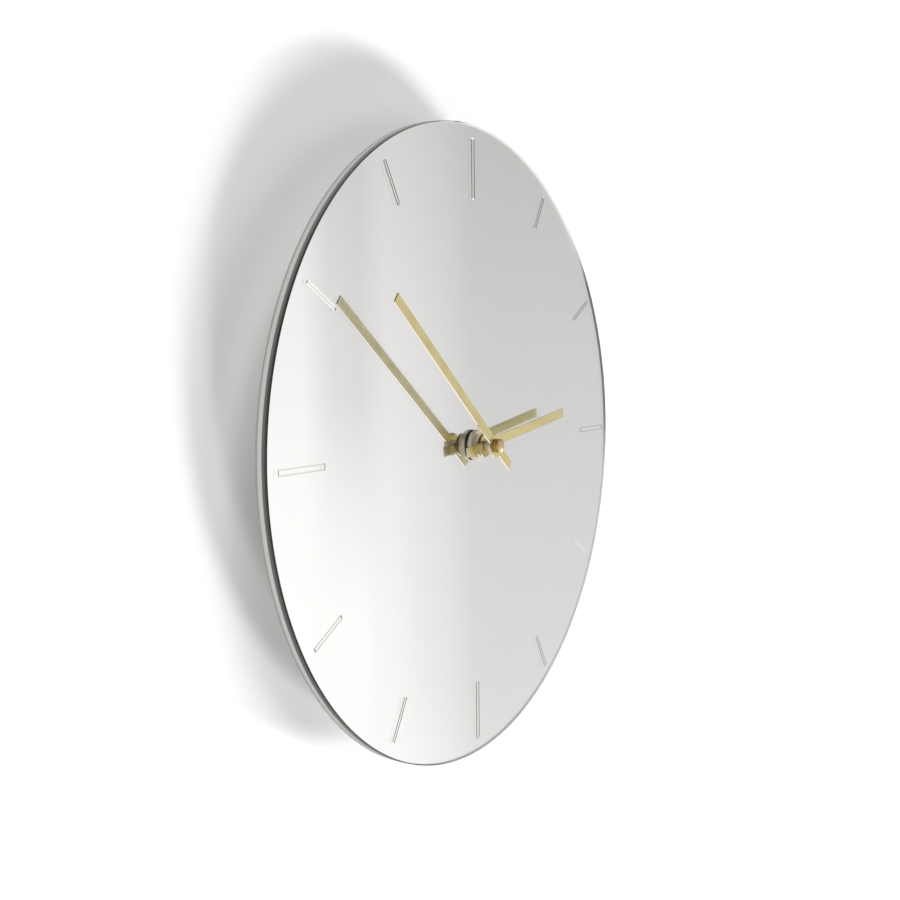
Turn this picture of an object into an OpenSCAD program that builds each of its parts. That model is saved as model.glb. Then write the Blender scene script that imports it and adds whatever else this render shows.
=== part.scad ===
// Frameless round mirror wall clock with a quartz movement behind the face.
// The hands turn about the Y axis, which meets the wall at the origin.
// X points right, Y points into the wall and Z points up, to twelve o'clock.

/* [Face] */
// Diameter of the mirror and of its backing
mirror_d = 300; // [240:1:400]
// Thickness of the clear mirror sheet
mirror_t = 2.2; // [1.8:0.1:4]
// Thickness of the metal film with its paint, behind the mirror sheet
film_t = 0.2; // [0.1:0.05:0.3]
// Thickness of the backing sheet
backing_t = 2.9; // [2:0.1:6]
// Bevel on the front edge of the mirror
edge_bevel = 0.3; // [0.1:0.05:0.8]

/* [Marks] */
// Distance from the rim to the outer end of every mark
mark_inset = 6.7; // [4:0.1:15]
// Length of the marks at the quarters
quarter_mark_l = 27.8; // [20:0.1:40]
// Length of the other marks
hour_mark_l = 19.9; // [12:0.1:30]
// Width of the marks at the quarters, between the middles of their long lines
quarter_mark_w = 2.3; // [1.5:0.05:5]
// Width of the other marks, between the middles of their long lines
hour_mark_w = 1.55; // [1:0.05:4]
// Width of an engraved line
line_w = 0.5; // [0.3:0.05:0.8]
// Depth of an engraved line
line_deep = 0.25; // [0.15:0.05:0.5]

/* [Hands] */
// Reach of the minute hand from the axis
minute_reach = 107.5; // [70:0.5:140]
// Reach of the hour hand from the axis
hour_reach = 79.5; // [50:0.5:110]
// Reach of the tail of either hand
hand_tail = 17; // [10:1:30]
// Width of the hands
hand_w = 4.6; // [3:0.1:7]
// Thickness of the hands
hand_t = 0.6; // [0.4:0.1:1.2]
// Radius of the round eye of either hand
eye_r = 5.5; // [4.5:0.1:8]
// Angle at which either hand leans forward beyond its eye
hand_lean = 1.3; // [0:0.1:2]
// Angle of the minute hand, clockwise from twelve
minute_angle = 308.3; // [0:0.1:359.9]
// Angle of the hour hand, clockwise from twelve
hour_angle = 81.7; // [0:0.1:359.9]
// Length of the spacer behind the minute hand
spacer_l = 4.8; // [3:0.1:8]
// Radius of the spacer
spacer_r = 2.15; // [1.9:0.05:3]
// Radius of the hand nut
hand_nut_r = 3.25; // [2.5:0.05:4.5]
// Length of the straight part of the hand nut
hand_nut_l = 2.2; // [1.5:0.1:4]
// Height of the dome on the hand nut
dome_h = 1.0; // [0.4:0.1:2]

/* [Clamping stack] */
// Outside radius of the bush
bush_r = 4.0; // [3.6:0.05:5]
// How far the bush stands out of its nut
bush_proud = 0.3; // [0.1:0.1:2]
// Radius of the flange at the back of the bush
bush_flange_r = 6.0; // [5.4:0.1:7.5]
// Thickness of that flange
bush_flange_t = 0.6; // [0.4:0.1:0.8]
// Outside radius of the washer
washer_r = 7.3; // [6.5:0.1:10]
// Thickness of the washer
washer_t = 2.2; // [0.5:0.1:3]
// Width of the nut across its flats
nut_af = 11.0; // [10.5:0.1:13]
// Thickness of the nut
nut_t = 2.0; // [1.5:0.1:4]
// Outside radius of the rubber gasket
gasket_r = 12.0; // [9:0.1:16]
// Thickness of the rubber gasket
gasket_t = 1.0; // [0.5:0.1:2]

/* [Hanger] */
// Thickness of the hanging plate
hanger_t = 1.0; // [0.8:0.1:1.5]
// Width of its strap
hanger_w = 16.0; // [12:0.5:24]
// Radius of its hanging hole
hang_hole_r = 3.0; // [2:0.1:4.5]
// Height of the hanging hole above the case
hang_up = 7.6; // [6:0.1:14]

/* [Movement case] */
// Depth of the movement from the wall
case_depth = 16.5; // [16.5:0.1:20]
// Wall of the case
case_wall = 1.2; // [1:0.1:1.6]
// Thickness of the rear cover
cover_t = 1.2; // [1:0.1:1.4]
// Corner radius of the case
corner_r = 2.5; // [1.5:0.1:4]
// Room above the coil inside the case
top_room = 2.55; // [1:0.05:5]
// Room below the wheels inside the case
low_room = 2.37; // [1:0.01:4]
// Width of a snap lug
lug_w = 6.0; // [4:0.5:8]
// Reach of a snap lug into the case
lug_l = 5.6; // [4.5:0.1:7]
// Height of the hook on a snap lug
hook_h = 0.6; // [0.4:0.1:0.9]

/* [Cell] */
// Radius of the dry cell
cell_r = 7.25; // [7:0.05:7.25]
// Length of the body of the cell
cell_l = 49.2; // [47:0.1:49.5]
// Radius of the positive cap
cap_r = 2.75; // [2.2:0.05:3.5]
// Height of the positive cap
cap_h = 1.3; // [1:0.1:1.6]
// Thickness of the leaf contacts
leaf_t = 0.3; // [0.2:0.05:0.4]
// Width of the leaf contacts
leaf_w = 6.0; // [4:0.5:8]
// Room behind each leaf contact
leaf_room = 1.25; // [0.8:0.05:2]

/* [Gears] */
// Module of the cannon pinion and the minute wheel
motion_m = 0.4; // [0.36:0.01:0.42]
// Module of the going train
train_m = 0.25; // [0.22:0.005:0.26]
// Thickness of the wheels of the motion work
motion_t = 0.8; // [0.6:0.05:0.9]
// Thickness of the wheels of the going train
train_t = 0.6; // [0.4:0.05:0.7]
// Axial gap between wheels
layer_gap = 0.4; // [0.3:0.05:0.5]
// Thickness of the train plate
plate_t = 1.0; // [0.8:0.1:1.3]
// Radius of the minute arbor in the hour pipe
arbor_r = 1.75; // [1.6:0.05:1.8]
// Radius of the threaded end of the minute arbor
thread_r = 1.25; // [1:0.05:1.4]
// Outside radius of the hour pipe
pipe_r = 2.5; // [2.3:0.05:2.7]
// Radius of the thin arbors
thin_r = 0.45; // [0.35:0.05:0.5]
// Radius of the setting knob
knob_r = 6.5; // [5:0.1:7]
// Thickness of the setting knob
knob_t = 2.8; // [2:0.1:3.2]
// Radius of the setting stem
stem_r = 1.2; // [1:0.05:1.4]

/* [Motor and circuit] */
// Radius of the rotor magnet
magnet_r = 2.5; // [2:0.1:2.8]
// Thickness of the rotor magnet
magnet_t = 2.0; // [1.4:0.1:2.2]
// Thickness of the stator and of the coil core
stator_t = 1.0; // [0.8:0.1:1.2]
// Radius of the flanges of the bobbin
bobbin_r = 2.8; // [2.5:0.1:3.2]
// Length of the bobbin
bobbin_l = 17; // [14:0.5:18]
// Length of the coil core
core_l = 22; // [20:0.5:23]
// Width of the coil core
core_w = 2.0; // [1.6:0.1:2.2]
// Width of the circuit board
board_w = 6.4; // [6:0.1:6.8]
// Length of the circuit board
board_l = 21; // [19:0.5:26]
// Thickness of the circuit board
board_t = 0.8; // [0.6:0.1:1]
// Radius of the quartz crystal can
crystal_r = 1.0; // [0.8:0.05:1.2]
// Length of the quartz crystal can
crystal_l = 6.0; // [5:0.1:7]

/* [Fits] */
// Radial clearance of shafts and pivots
run_fit = 0.05; // [0.03:0.01:0.08]
// Radial clearance of the hour pipe, inside and outside
pipe_fit = 0.1; // [0.05:0.01:0.1]
// Radial clearance of pressed pieces
press_fit = 0.02; // [0.01:0.01:0.03]
// Radial clearance of the holes in the sheets
hole_fit = 0.3; // [0.2:0.05:0.6]
// Gap between pieces that pass each other
run_gap = 0.3; // [0.3:0.05:0.4]
// Gap around the cell
cell_gap = 0.35; // [0.3:0.05:0.4]

/* [Hidden] */

// Overshoot of cutting solids
over = 1;

// Planes of the clamping stack, from the wall to the front
y_case = -case_depth;
y_hanger = y_case - hanger_t;
y_gasket = y_hanger - gasket_t;
y_backing = y_gasket - backing_t;
y_film = y_backing - film_t;
y_mirror = y_film - mirror_t;
y_washer = y_mirror - washer_t;
y_nut = y_washer - nut_t;
y_bush = y_nut - bush_proud;

// Planes of the hands
lip_t = 0.2;
lip_w = 0.3;
neck_w = 0.4;
flange_w = 0.9;
y_eyelet = y_bush - run_gap;
y_hour_back = y_eyelet - run_gap;
y_hour_front = y_hour_back - hand_t;
y_pipe = y_hour_front - lip_t;
y_spacer = y_pipe - run_gap;
y_minute_back = y_spacer - spacer_l;
y_minute_front = y_minute_back - hand_t;
y_hand_nut = y_minute_front - hand_nut_l;
y_arbor = y_hand_nut + run_gap;

// Layers of the movement, from its front wall to the rear cover
y_in = y_case + case_wall;
y_a0 = y_in + run_gap;
y_a1 = y_a0 + motion_t;
y_b0 = y_a1 + layer_gap;
y_b1 = y_b0 + motion_t;
y_c0 = y_b1 + layer_gap;
y_c1 = y_c0 + train_t;
y_p0 = y_c1 + layer_gap + run_gap;
y_p1 = y_p0 + plate_t;
y_d0 = y_p1 + layer_gap;
y_d1 = y_d0 + train_t;
y_e0 = y_d1 + layer_gap;
y_e1 = y_e0 + train_t;
y_f0 = y_e1 + layer_gap;
y_f1 = y_f0 + train_t;
y_m0 = y_f1 + run_gap;
y_m1 = y_m0 + magnet_t;
y_s0 = (y_m0 + y_m1 - stator_t) / 2;
y_s1 = y_s0 + stator_t;
y_core = y_s1 + stator_t;
y_cover = -cover_t;

// Form of a tooth, in modules
press_angle = 20;
addendum = 0.9;
dedendum = 1.25;
tooth_w = 1.3;
flank_steps = 3;

// Teeth of the motion work and of the going train
cannon_n = 12;
minute_n = 36;
minute_pin_n = 10;
hour_n = 40;
seconds_n = 60;
seconds_pin_n = 8;
third_n = 60;
third_pin_n = 8;
centre_n = 64;
inter_n = 40;
inter_pin_n = 10;
rotor_n = 8;

// Distances between axes, and the modules that follow from them
motion_d = motion_m * (cannon_n + minute_n) / 2;
hour_m = 2 * motion_d / (minute_pin_n + hour_n);
third_d = train_m * (seconds_pin_n + third_n) / 2;
centre_m = 2 * third_d / (third_pin_n + centre_n);
inter_d = train_m * (inter_pin_n + seconds_n) / 2;
rotor_d = train_m * (rotor_n + inter_n) / 2;

// Directions from one axis to the next, and the places of the axes
minute_dir = 180;
stem_dir = 120;
third_dir = 20;
inter_dir = 90;
rotor_dir = 60;
minute_p = motion_d * [cos(minute_dir), sin(minute_dir)];
stem_p = minute_p + motion_d * [cos(stem_dir), sin(stem_dir)];
third_p = third_d * [cos(third_dir), sin(third_dir)];
inter_p = inter_d * [cos(inter_dir), sin(inter_dir)];
rotor_p = inter_p + rotor_d * [cos(rotor_dir), sin(rotor_dir)];

// Turn that makes the second wheel of a pair mesh with the first
function mesh_turn(dir, n1, turn1, n2) = dir + 180 - (0.5 - (dir - turn1) * n1 / 360) * 360 / n2;
minute_turn = mesh_turn(minute_dir, cannon_n, 0, minute_n);
hour_turn = mesh_turn(minute_dir + 180, minute_pin_n, 0, hour_n);
stem_turn = mesh_turn(stem_dir, minute_n, minute_turn, cannon_n);
third_turn = mesh_turn(third_dir, seconds_pin_n, 0, third_n);
centre_turn = mesh_turn(third_dir + 180, third_pin_n, 0, centre_n);
inter_turn = mesh_turn(inter_dir, seconds_n, 0, inter_pin_n);
rotor_turn = mesh_turn(rotor_dir, inter_n, 0, rotor_n);

// Motor
magnet_gap = 0.4;
stator_web = 1.5;
coil_z = rotor_p[1] + magnet_r + magnet_gap + stator_web + run_gap + bobbin_r;
core_x0 = rotor_p[0] - core_l / 2;
core_x1 = rotor_p[0] + core_l / 2;
bobbin_x0 = rotor_p[0] - bobbin_l / 2;
bobbin_x1 = rotor_p[0] + bobbin_l / 2;
y_coil = y_s1 + stator_t / 2;
tube_r = 1.6;
flange_t = 0.8;
post_r = 1.3;
pin_r = 1.1;

// Inside of the case: the cell lies below the wheels, the coil above them
cell_x0 = -(cell_l + cap_h) / 2;
cell_x1 = cell_x0 + cell_l;
cap_x = cell_x1 + cap_h;
case_in = cap_x + leaf_t + leaf_room;
case_x = case_in + case_wall;
in_z1 = coil_z + bobbin_r + top_room;
case_z1 = in_z1 + case_wall;
z_part1 = -(hour_m * (hour_n / 2 + addendum) + low_room);
z_part0 = z_part1 - case_wall;
z_cell = z_part0 - cell_gap - cell_r;
in_z0 = z_cell - cell_r - cell_gap;
case_z0 = in_z0 - case_wall;
y_cell = y_in + cell_gap + cell_r;

// Bearings in the rear cover
boss_r = 1.4;
boss_l = 3.2;
pivot_l = 1.6;
y_boss = y_cover - boss_l;
y_pivot = y_boss + pivot_l;

// Setting knob in its cup
knob_deep = 0.6;
y_knob1 = -knob_deep;
y_knob0 = y_knob1 - knob_t;
y_cup = y_knob0 - run_gap;
cup_r = knob_r + run_gap;
cup_wall = 1.0;
knob_cap = 1.0;
stem_end = y_knob1 - knob_cap;
grip_n = 18;
grip_r = 0.7;

// Circuit board
lug_t = 1.0;
lug_gap = 0.2;
board_gap = 0.6;
board_up = 1.5;
board_deep = 2.0;
board_x1 = case_in - lug_t - lug_gap - board_gap;
board_x0 = board_x1 - board_w;
board_z0 = z_part1 + board_up;
board_z1 = board_z0 + board_l;
y_board1 = y_cover - board_deep;
y_board0 = y_board1 - board_t;
tab_l = 1.2;
tab_gap = 1.0;
board_pin_x = board_x0 + board_w / 2;
board_pin_z = [board_z0 + tab_l + 2 * pin_r, board_z1 - 2 * pin_r];

// Train plate and its posts
plate_gap = 0.6;
plate_x0 = -(case_in - lug_t - lug_gap - plate_gap);
plate_x1 = board_x0 - plate_gap;
plate_z0 = z_part1 + plate_gap;
plate_z1 = in_z1 - plate_gap;
post_in = 1.6;
post_up = 3.3;
posts = [[plate_x0 + post_in, plate_z0 + post_up], [plate_x0 + post_in, plate_z1 - post_in],
    [plate_x1 - post_in, plate_z1 - post_in], [plate_x1 - post_in, plate_z0 + post_up]];

// Snap lugs
lug_in = 5.4;
hook_l = 1.6;
lug_z = [z_part1 + lug_in, in_z1 - lug_in - lug_w / 2];
hook_y0 = y_cover - lug_l;
hook_y1 = hook_y0 + hook_l;

// Turned and flat shapes, given by their front and back planes
module disc(y0, y1, r, fn = 96) {
    translate([0, y1, 0]) rotate([90, 0, 0]) cylinder(h = y1 - y0, r = r, $fn = fn);
}

module slab(y0, y1) {
    translate([0, y1, 0]) rotate([90, 0, 0]) linear_extrude(height = y1 - y0) children();
}

module at(p) {
    translate([p[0], 0, p[1]]) children();
}

module block(x0, x1, y0, y1, z0, z1) {
    translate([x0, y0, z0]) cube([x1 - x0, y1 - y0, z1 - z0]);
}

// A body turned about the hands' axis from a profile of radius and plane
module turned(profile) {
    rotate([90, 0, 0]) rotate_extrude($fn = 128) polygon([for (p = profile) [p[0], -p[1]]]);
}

// Outline of the case, drawn in from its walls
module case_outline(inset) {
    r = corner_r - inset;
    x = case_x - inset;
    z0 = case_z0 + inset;
    z1 = case_z1 - inset;
    translate([-x, z0 + r]) square([2 * x, z1 - z0 - 2 * r]);
    translate([-x + r, z0]) square([2 * (x - r), z1 - z0]);
    for (s = [-1, 1], z = [z0 + r, z1 - r]) translate([s * (x - r), z]) circle(r = r, $fn = 48);
}

// Involute wheel with thinned teeth for free running
function inv(a) = tan(a) * 180 / PI - a;
function polar(r, a) = [r * cos(a), r * sin(a)];
function half_angle(r, n, m) = tooth_w * 180 / (PI * n) + inv(press_angle)
    - inv(acos(min(1, m * n * cos(press_angle) / (2 * r))));

module wheel_shape(n, m, turn) {
    root = m * (n / 2 - dedendum);
    tip = m * (n / 2 + addendum);
    start = max(m * n * cos(press_angle) / 2, root + 0.02 * m);
    flank = [for (i = [0:flank_steps]) start + (tip - start) * i / flank_steps];
    last = flank_steps;
    polygon([for (k = [0:n - 1]) let (c = turn + 360 * k / n) each concat(
        [polar(root, c - half_angle(start, n, m))],
        [for (i = [0:last]) polar(flank[i], c - half_angle(flank[i], n, m))],
        [for (i = [0:last]) polar(flank[last - i], c + half_angle(flank[last - i], n, m))],
        [polar(root, c + half_angle(start, n, m))])]);
}

module wheel(n, m, turn, y0, y1) {
    slab(y0, y1) wheel_shape(n, m, turn);
}

// Windows that lighten a wheel
module windows(y0, y1, place_r, r) {
    for (a = [0:90:270]) rotate([0, a, 0]) translate([place_r, 0, 0]) disc(y0 - over, y1 + over, r, 48);
}

// Face
module sheet_hole(y0, y1) {
    disc(y0 - over, y1 + over, bush_r + hole_fit);
}

// One engraved line of V section, along Z from the origin
module vee(l) {
    translate([0, y_mirror, 0]) linear_extrude(height = l)
        polygon([[-line_w / 2, -over], [line_w / 2, -over], [line_w / 2, 0], [0, line_deep],
            [-line_w / 2, 0]]);
}

// Outline of one mark, standing at twelve
module mark(l, w) {
    z1 = mirror_d / 2 - mark_inset;
    z0 = z1 - l;
    for (x = [-1, 1] * w / 2) translate([x, 0, z0 - line_w / 2]) vee(l + line_w);
    for (z = [z0, z1]) translate([-(w + line_w) / 2, 0, z]) rotate([0, 90, 0]) vee(w + line_w);
}

module mirror_sheet() {
    r = mirror_d / 2;
    color([0.82, 0.84, 0.85]) difference() {
        turned([[0, y_mirror], [r - edge_bevel, y_mirror], [r, y_mirror + edge_bevel], [r, y_film],
            [0, y_film]]);
        sheet_hole(y_mirror, y_film);
        for (h = [0:11]) rotate([0, 30 * h, 0]) {
            if (h % 3 == 0) mark(quarter_mark_l, quarter_mark_w);
            else mark(hour_mark_l, hour_mark_w);
        }
    }
}

module silver_film() {
    color([0.75, 0.76, 0.78]) difference() {
        disc(y_film, y_backing, mirror_d / 2, 128);
        sheet_hole(y_film, y_backing);
    }
}

module backing_sheet() {
    color([0.72, 0.72, 0.7]) difference() {
        disc(y_backing, y_gasket, mirror_d / 2, 128);
        sheet_hole(y_backing, y_gasket);
    }
}

// Clamping stack
module gasket() {
    color([0.08, 0.08, 0.08]) difference() {
        disc(y_gasket, y_hanger, gasket_r);
        sheet_hole(y_gasket, y_hanger);
    }
}

module hanger() {
    z_riser = case_z1 + run_gap;
    z_hole = case_z1 + hang_up;
    color([0.7, 0.7, 0.72]) difference() {
        union() {
            slab(y_hanger, y_case) {
                circle(r = gasket_r, $fn = 96);
                translate([-hanger_w / 2, 0]) square([hanger_w, z_riser + hanger_t]);
            }
            block(-hanger_w / 2, hanger_w / 2, y_hanger, 0, z_riser, z_riser + hanger_t);
            slab(-hanger_t, 0) intersection() {
                translate([-hanger_w / 2, z_riser]) square([hanger_w, hang_up + hanger_w]);
                union() {
                    translate([-hanger_w / 2, z_riser]) square([hanger_w, z_hole - z_riser]);
                    translate([0, z_hole]) circle(r = hanger_w / 2, $fn = 96);
                }
            }
        }
        sheet_hole(y_hanger, y_case);
        translate([0, 0, z_hole]) disc(-hanger_t - over, over, hang_hole_r);
    }
}

module washer() {
    soft = 0.25;
    color([0.72, 0.71, 0.68]) difference() {
        turned([[0, y_washer], [washer_r - soft, y_washer], [washer_r, y_washer + soft], [washer_r, y_mirror],
            [0, y_mirror]]);
        disc(y_washer - over, y_mirror + over, bush_r + hole_fit);
    }
}

module hex_nut() {
    chamfer = 0.5;
    corner = nut_af / sqrt(3);
    color([0.74, 0.73, 0.7]) difference() {
        intersection() {
            disc(y_nut, y_washer, corner, 6);
            turned([[0, y_nut], [nut_af / 2, y_nut], [corner, y_nut + chamfer], [corner, y_washer],
                [0, y_washer]]);
        }
        disc(y_nut - over, y_washer + over, bush_r + run_fit);
    }
}

module threaded_bush() {
    lead = 0.25;
    y_back = y_in - bush_flange_t;
    color([0.75, 0.74, 0.7]) difference() {
        turned([[0, y_bush], [bush_r - lead, y_bush], [bush_r, y_bush + lead], [bush_r, y_back],
            [bush_flange_r, y_back], [bush_flange_r, y_in], [0, y_in]]);
        disc(y_bush - over, y_in + over, pipe_r + pipe_fit);
    }
}

// Hands: a flat strip with a round eye, bent a little away from the mirror where it leaves the eye
module hand_bar(reach, at_angle, y0, y1, hole_r) {
    lean = (reach - eye_r) * tan(hand_lean);
    rotate([0, at_angle, 0]) difference() {
        union() {
            translate([-hand_w / 2, 0, 0]) rotate([90, 0, 90]) linear_extrude(height = hand_w)
                polygon([[y0, -hand_tail], [y1, -hand_tail], [y1, eye_r], [y1 - lean, reach],
                    [y0 - lean, reach], [y0, eye_r]]);
            disc(y0, y1, eye_r);
        }
        disc(y0 - over, y1 + over, hole_r);
    }
}

module hour_hand() {
    color([0.78, 0.68, 0.4]) hand_bar(hour_reach, hour_angle, y_hour_front, y_hour_back,
        pipe_r + neck_w + press_fit);
}

module hour_collet() {
    neck = pipe_r + neck_w;
    color([0.76, 0.66, 0.4]) difference() {
        turned([[0, y_pipe], [neck + lip_w, y_pipe], [neck + lip_w, y_hour_front], [neck, y_hour_front],
            [neck, y_hour_back], [pipe_r + flange_w, y_hour_back], [pipe_r + flange_w, y_eyelet],
            [0, y_eyelet]]);
        disc(y_pipe - over, y_eyelet + over, pipe_r + press_fit);
    }
}

module minute_hand() {
    color([0.8, 0.71, 0.44]) hand_bar(minute_reach, minute_angle, y_minute_front, y_minute_back,
        thread_r + neck_w + press_fit);
}

module minute_collet() {
    neck = thread_r + neck_w;
    color([0.7, 0.69, 0.67]) difference() {
        turned([[0, y_minute_front], [neck, y_minute_front], [neck, y_minute_back], [spacer_r, y_minute_back],
            [spacer_r, y_spacer], [0, y_spacer]]);
        disc(y_minute_front - over, y_spacer + over, thread_r + press_fit);
    }
}

module hand_nut() {
    dome_r = (hand_nut_r * hand_nut_r + dome_h * dome_h) / (2 * dome_h);
    color([0.8, 0.66, 0.36]) difference() {
        union() {
            disc(y_hand_nut, y_minute_front, hand_nut_r);
            intersection() {
                disc(y_hand_nut - dome_h - over, y_hand_nut, hand_nut_r);
                translate([0, y_hand_nut - dome_h + dome_r, 0]) rotate([90, 0, 0])
                    sphere(r = dome_r, $fn = 128);
            }
        }
        disc(y_hand_nut, y_minute_front + over, thread_r + press_fit);
    }
}

// Movement case
module front_case() {
    slot_x = [cell_x0 - leaf_t, cap_x];
    color([0.1, 0.1, 0.1]) difference() {
        union() {
            difference() {
                slab(y_case, 0) case_outline(0);
                slab(y_in, over) case_outline(case_wall);
                block(-2 * case_x, 2 * case_x, y_cover, over, z_part0, 2 * case_z1);
            }
            block(-case_in, case_in, y_in, y_cover, z_part0, z_part1);
            for (p = posts) at(p) disc(y_in, y_p0, post_r, 48);
            for (z = board_pin_z) at([board_pin_x, z]) disc(y_in, y_board0, pin_r, 48);
            at(minute_p) disc(y_in, y_c0, thin_r * 1.8, 48);
            at(stem_p) disc(y_in, y_b1, thin_r * 1.6, 48);
            difference() {
                for (x = [-1, 1] * cell_l / 3) block(x - case_wall / 2, x + case_wall / 2, y_in,
                    y_cell - cell_r / 2, in_z0, z_part0);
                cell_space(cell_r + run_gap);
            }
        }
        disc(y_case - over, y_in + over, bush_r + press_fit);
        disc(y_in - bush_flange_t, y_in + over, bush_flange_r + press_fit);
        for (x = slot_x) block(x - run_gap, x + leaf_t + run_gap, y_cell - leaf_w / 2 - run_gap,
            y_cover + over, z_part0 - over, z_part1 + over);
        for (x = [-1, 1] * (case_in + case_x) / 2, z = lug_z) block(x - case_wall, x + case_wall,
            hook_y0 - lug_gap, hook_y1 + lug_gap, z - lug_w / 2 - lug_gap, z + lug_w / 2 + lug_gap);
    }
}

module cell_space(r) {
    translate([cell_x0 - over, y_cell, z_cell]) rotate([0, 90, 0])
        cylinder(h = cell_l + 2 * over, r = r, $fn = 96);
}

// One lug on the right-hand side, with a hook that slopes for snapping in
module snap_lug() {
    x1 = case_in - lug_gap;
    translate([0, 0, -lug_w / 2]) linear_extrude(height = lug_w)
        polygon([[x1 - lug_t, y_cover], [x1, y_cover], [x1, hook_y1], [x1 + lug_gap + hook_h, hook_y1],
            [x1, hook_y0], [x1 - lug_t, hook_y0]]);
}

module rear_cover() {
    color([0.12, 0.12, 0.12]) difference() {
        union() {
            intersection() {
                slab(y_cover, 0) case_outline(0);
                block(-2 * case_x, 2 * case_x, y_cover, 0, z_part0 + lug_gap, 2 * case_z1);
            }
            at(stem_p) disc(y_cup - cup_wall, y_cover, cup_r + cup_wall);
            for (p = [[0, 0], third_p, inter_p, rotor_p]) at(p) disc(y_boss, y_cover, boss_r, 48);
            for (p = posts) at(p) disc(y_p1, y_cover, post_r, 48);
            for (z = board_pin_z) at([board_pin_x, z]) disc(y_board1, y_cover, pin_r, 48);
            for (x = [(core_x0 + bobbin_x0) / 2, (core_x1 + bobbin_x1) / 2]) at([x, coil_z])
                disc(y_core, y_cover, pin_r, 48);
            for (x = [0, 1], z = lug_z) translate([0, 0, z]) mirror([x, 0, 0]) snap_lug();
        }
        at(stem_p) disc(y_cup, over, cup_r);
        at(stem_p) disc(y_cup - cup_wall - over, y_cup + over, stem_r + run_fit);
        for (p = [[0, 0], third_p, inter_p, rotor_p]) at(p)
            disc(y_boss - over, y_pivot + run_gap, thin_r + run_fit);
    }
}

module train_plate() {
    color([0.85, 0.85, 0.82]) difference() {
        union() {
            slab(y_p0, y_p1) translate([plate_x0, plate_z0])
                square([plate_x1 - plate_x0, plate_z1 - plate_z0]);
            for (x = [(core_x0 + bobbin_x0) / 2, (core_x1 + bobbin_x1) / 2]) at([x, coil_z])
                disc(y_p1, y_s0, pin_r, 48);
        }
        disc(y_p0 - over, y_p1 + over, stem_r + run_fit);
        at(stem_p) disc(y_p0 - over, y_p1 + over, stem_r + run_fit);
        for (p = [third_p, inter_p, rotor_p]) at(p) disc(y_p0 - over, y_p1 + over, thin_r + run_fit);
    }
}

// Motion work
module minute_arbor() {
    y_rear = y_p1 + layer_gap / 2;
    color([0.72, 0.6, 0.3]) difference() {
        union() {
            wheel(cannon_n, motion_m, 0, y_b0, y_b1);
            turned([[0, y_arbor], [thread_r, y_arbor], [thread_r, y_spacer], [arbor_r, y_spacer],
                [arbor_r, y_b1], [stem_r, y_b1], [stem_r, y_rear], [0, y_rear]]);
        }
        disc(y_case, y_rear + over, thin_r + run_fit);
    }
}

module minute_wheel() {
    color([0.9, 0.88, 0.8]) at(minute_p) difference() {
        union() {
            wheel(minute_n, motion_m, minute_turn, y_b0, y_b1);
            wheel(minute_pin_n, hour_m, 0, y_a0, y_b0);
        }
        disc(y_a0 - over, y_b1 + over, thin_r * 1.8 + run_fit);
        windows(y_b0, y_b1, motion_m * minute_n * 0.32, motion_m * 3.2);
    }
}

module hour_wheel() {
    color([0.9, 0.88, 0.8]) difference() {
        union() {
            wheel(hour_n, hour_m, hour_turn, y_a0, y_a1);
            disc(y_pipe, y_a0, pipe_r);
        }
        disc(y_pipe - over, y_a1 + over, arbor_r + pipe_fit);
    }
}

module setting_stem() {
    color([0.88, 0.88, 0.85]) at(stem_p) difference() {
        union() {
            wheel(cannon_n, motion_m, stem_turn, y_b0, y_b1);
            disc(y_b1, stem_end, stem_r);
        }
        disc(y_b0 - over, y_b1 + run_gap, thin_r * 1.6 + run_fit);
    }
}

module setting_knob() {
    color([0.15, 0.15, 0.15]) at(stem_p) difference() {
        disc(y_knob0, y_knob1, knob_r);
        disc(y_knob0 - over, stem_end, stem_r + press_fit);
        for (k = [0:grip_n - 1]) rotate([0, 360 * k / grip_n, 0]) translate([knob_r, 0, 0])
            disc(y_knob0 - over, y_knob1 + over, grip_r, 32);
    }
}

// Going train
module centre_wheel() {
    color([0.92, 0.9, 0.82]) difference() {
        wheel(centre_n, centre_m, centre_turn, y_c0, y_c1);
        disc(y_c0 - over, y_c1 + over, stem_r + run_fit);
        windows(y_c0, y_c1, centre_m * centre_n * 0.32, centre_m * 7);
    }
}

module third_wheel() {
    color([0.92, 0.9, 0.82]) at(third_p) difference() {
        union() {
            wheel(third_pin_n, centre_m, 0, y_c0, y_c1);
            wheel(third_n, train_m, third_turn, y_d0, y_d1);
            disc(y_c0, y_pivot, thin_r, 48);
        }
        windows(y_d0, y_d1, train_m * third_n * 0.3, train_m * 7);
    }
}

module seconds_wheel() {
    color([0.92, 0.9, 0.82]) difference() {
        union() {
            wheel(seconds_pin_n, train_m, 0, y_d0, y_d1);
            wheel(seconds_n, train_m, 0, y_e0, y_e1);
            disc(y_case + run_gap, y_pivot, thin_r, 48);
            disc(y_d0, y_e1, thin_r * 1.4, 48);
        }
        windows(y_e0, y_e1, train_m * seconds_n * 0.3, train_m * 7);
    }
}

module intermediate_wheel() {
    color([0.92, 0.9, 0.82]) at(inter_p) {
        wheel(inter_pin_n, train_m, inter_turn, y_e0, y_f0);
        wheel(inter_n, train_m, 0, y_f0, y_f1);
        disc(y_p0, y_pivot, thin_r, 48);
    }
}

module rotor_pinion() {
    color([0.9, 0.9, 0.86]) at(rotor_p) {
        wheel(rotor_n, train_m, rotor_turn, y_f0, y_f1);
        disc(y_p0, y_pivot, thin_r, 48);
        disc(y_f1, y_m1, thin_r * 1.6, 48);
    }
}

module rotor_magnet() {
    color([0.2, 0.2, 0.22]) at(rotor_p) difference() {
        disc(y_m0, y_m1, magnet_r);
        disc(y_m0 - over, y_m1 + over, thin_r * 1.6 + press_fit);
    }
}

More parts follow.
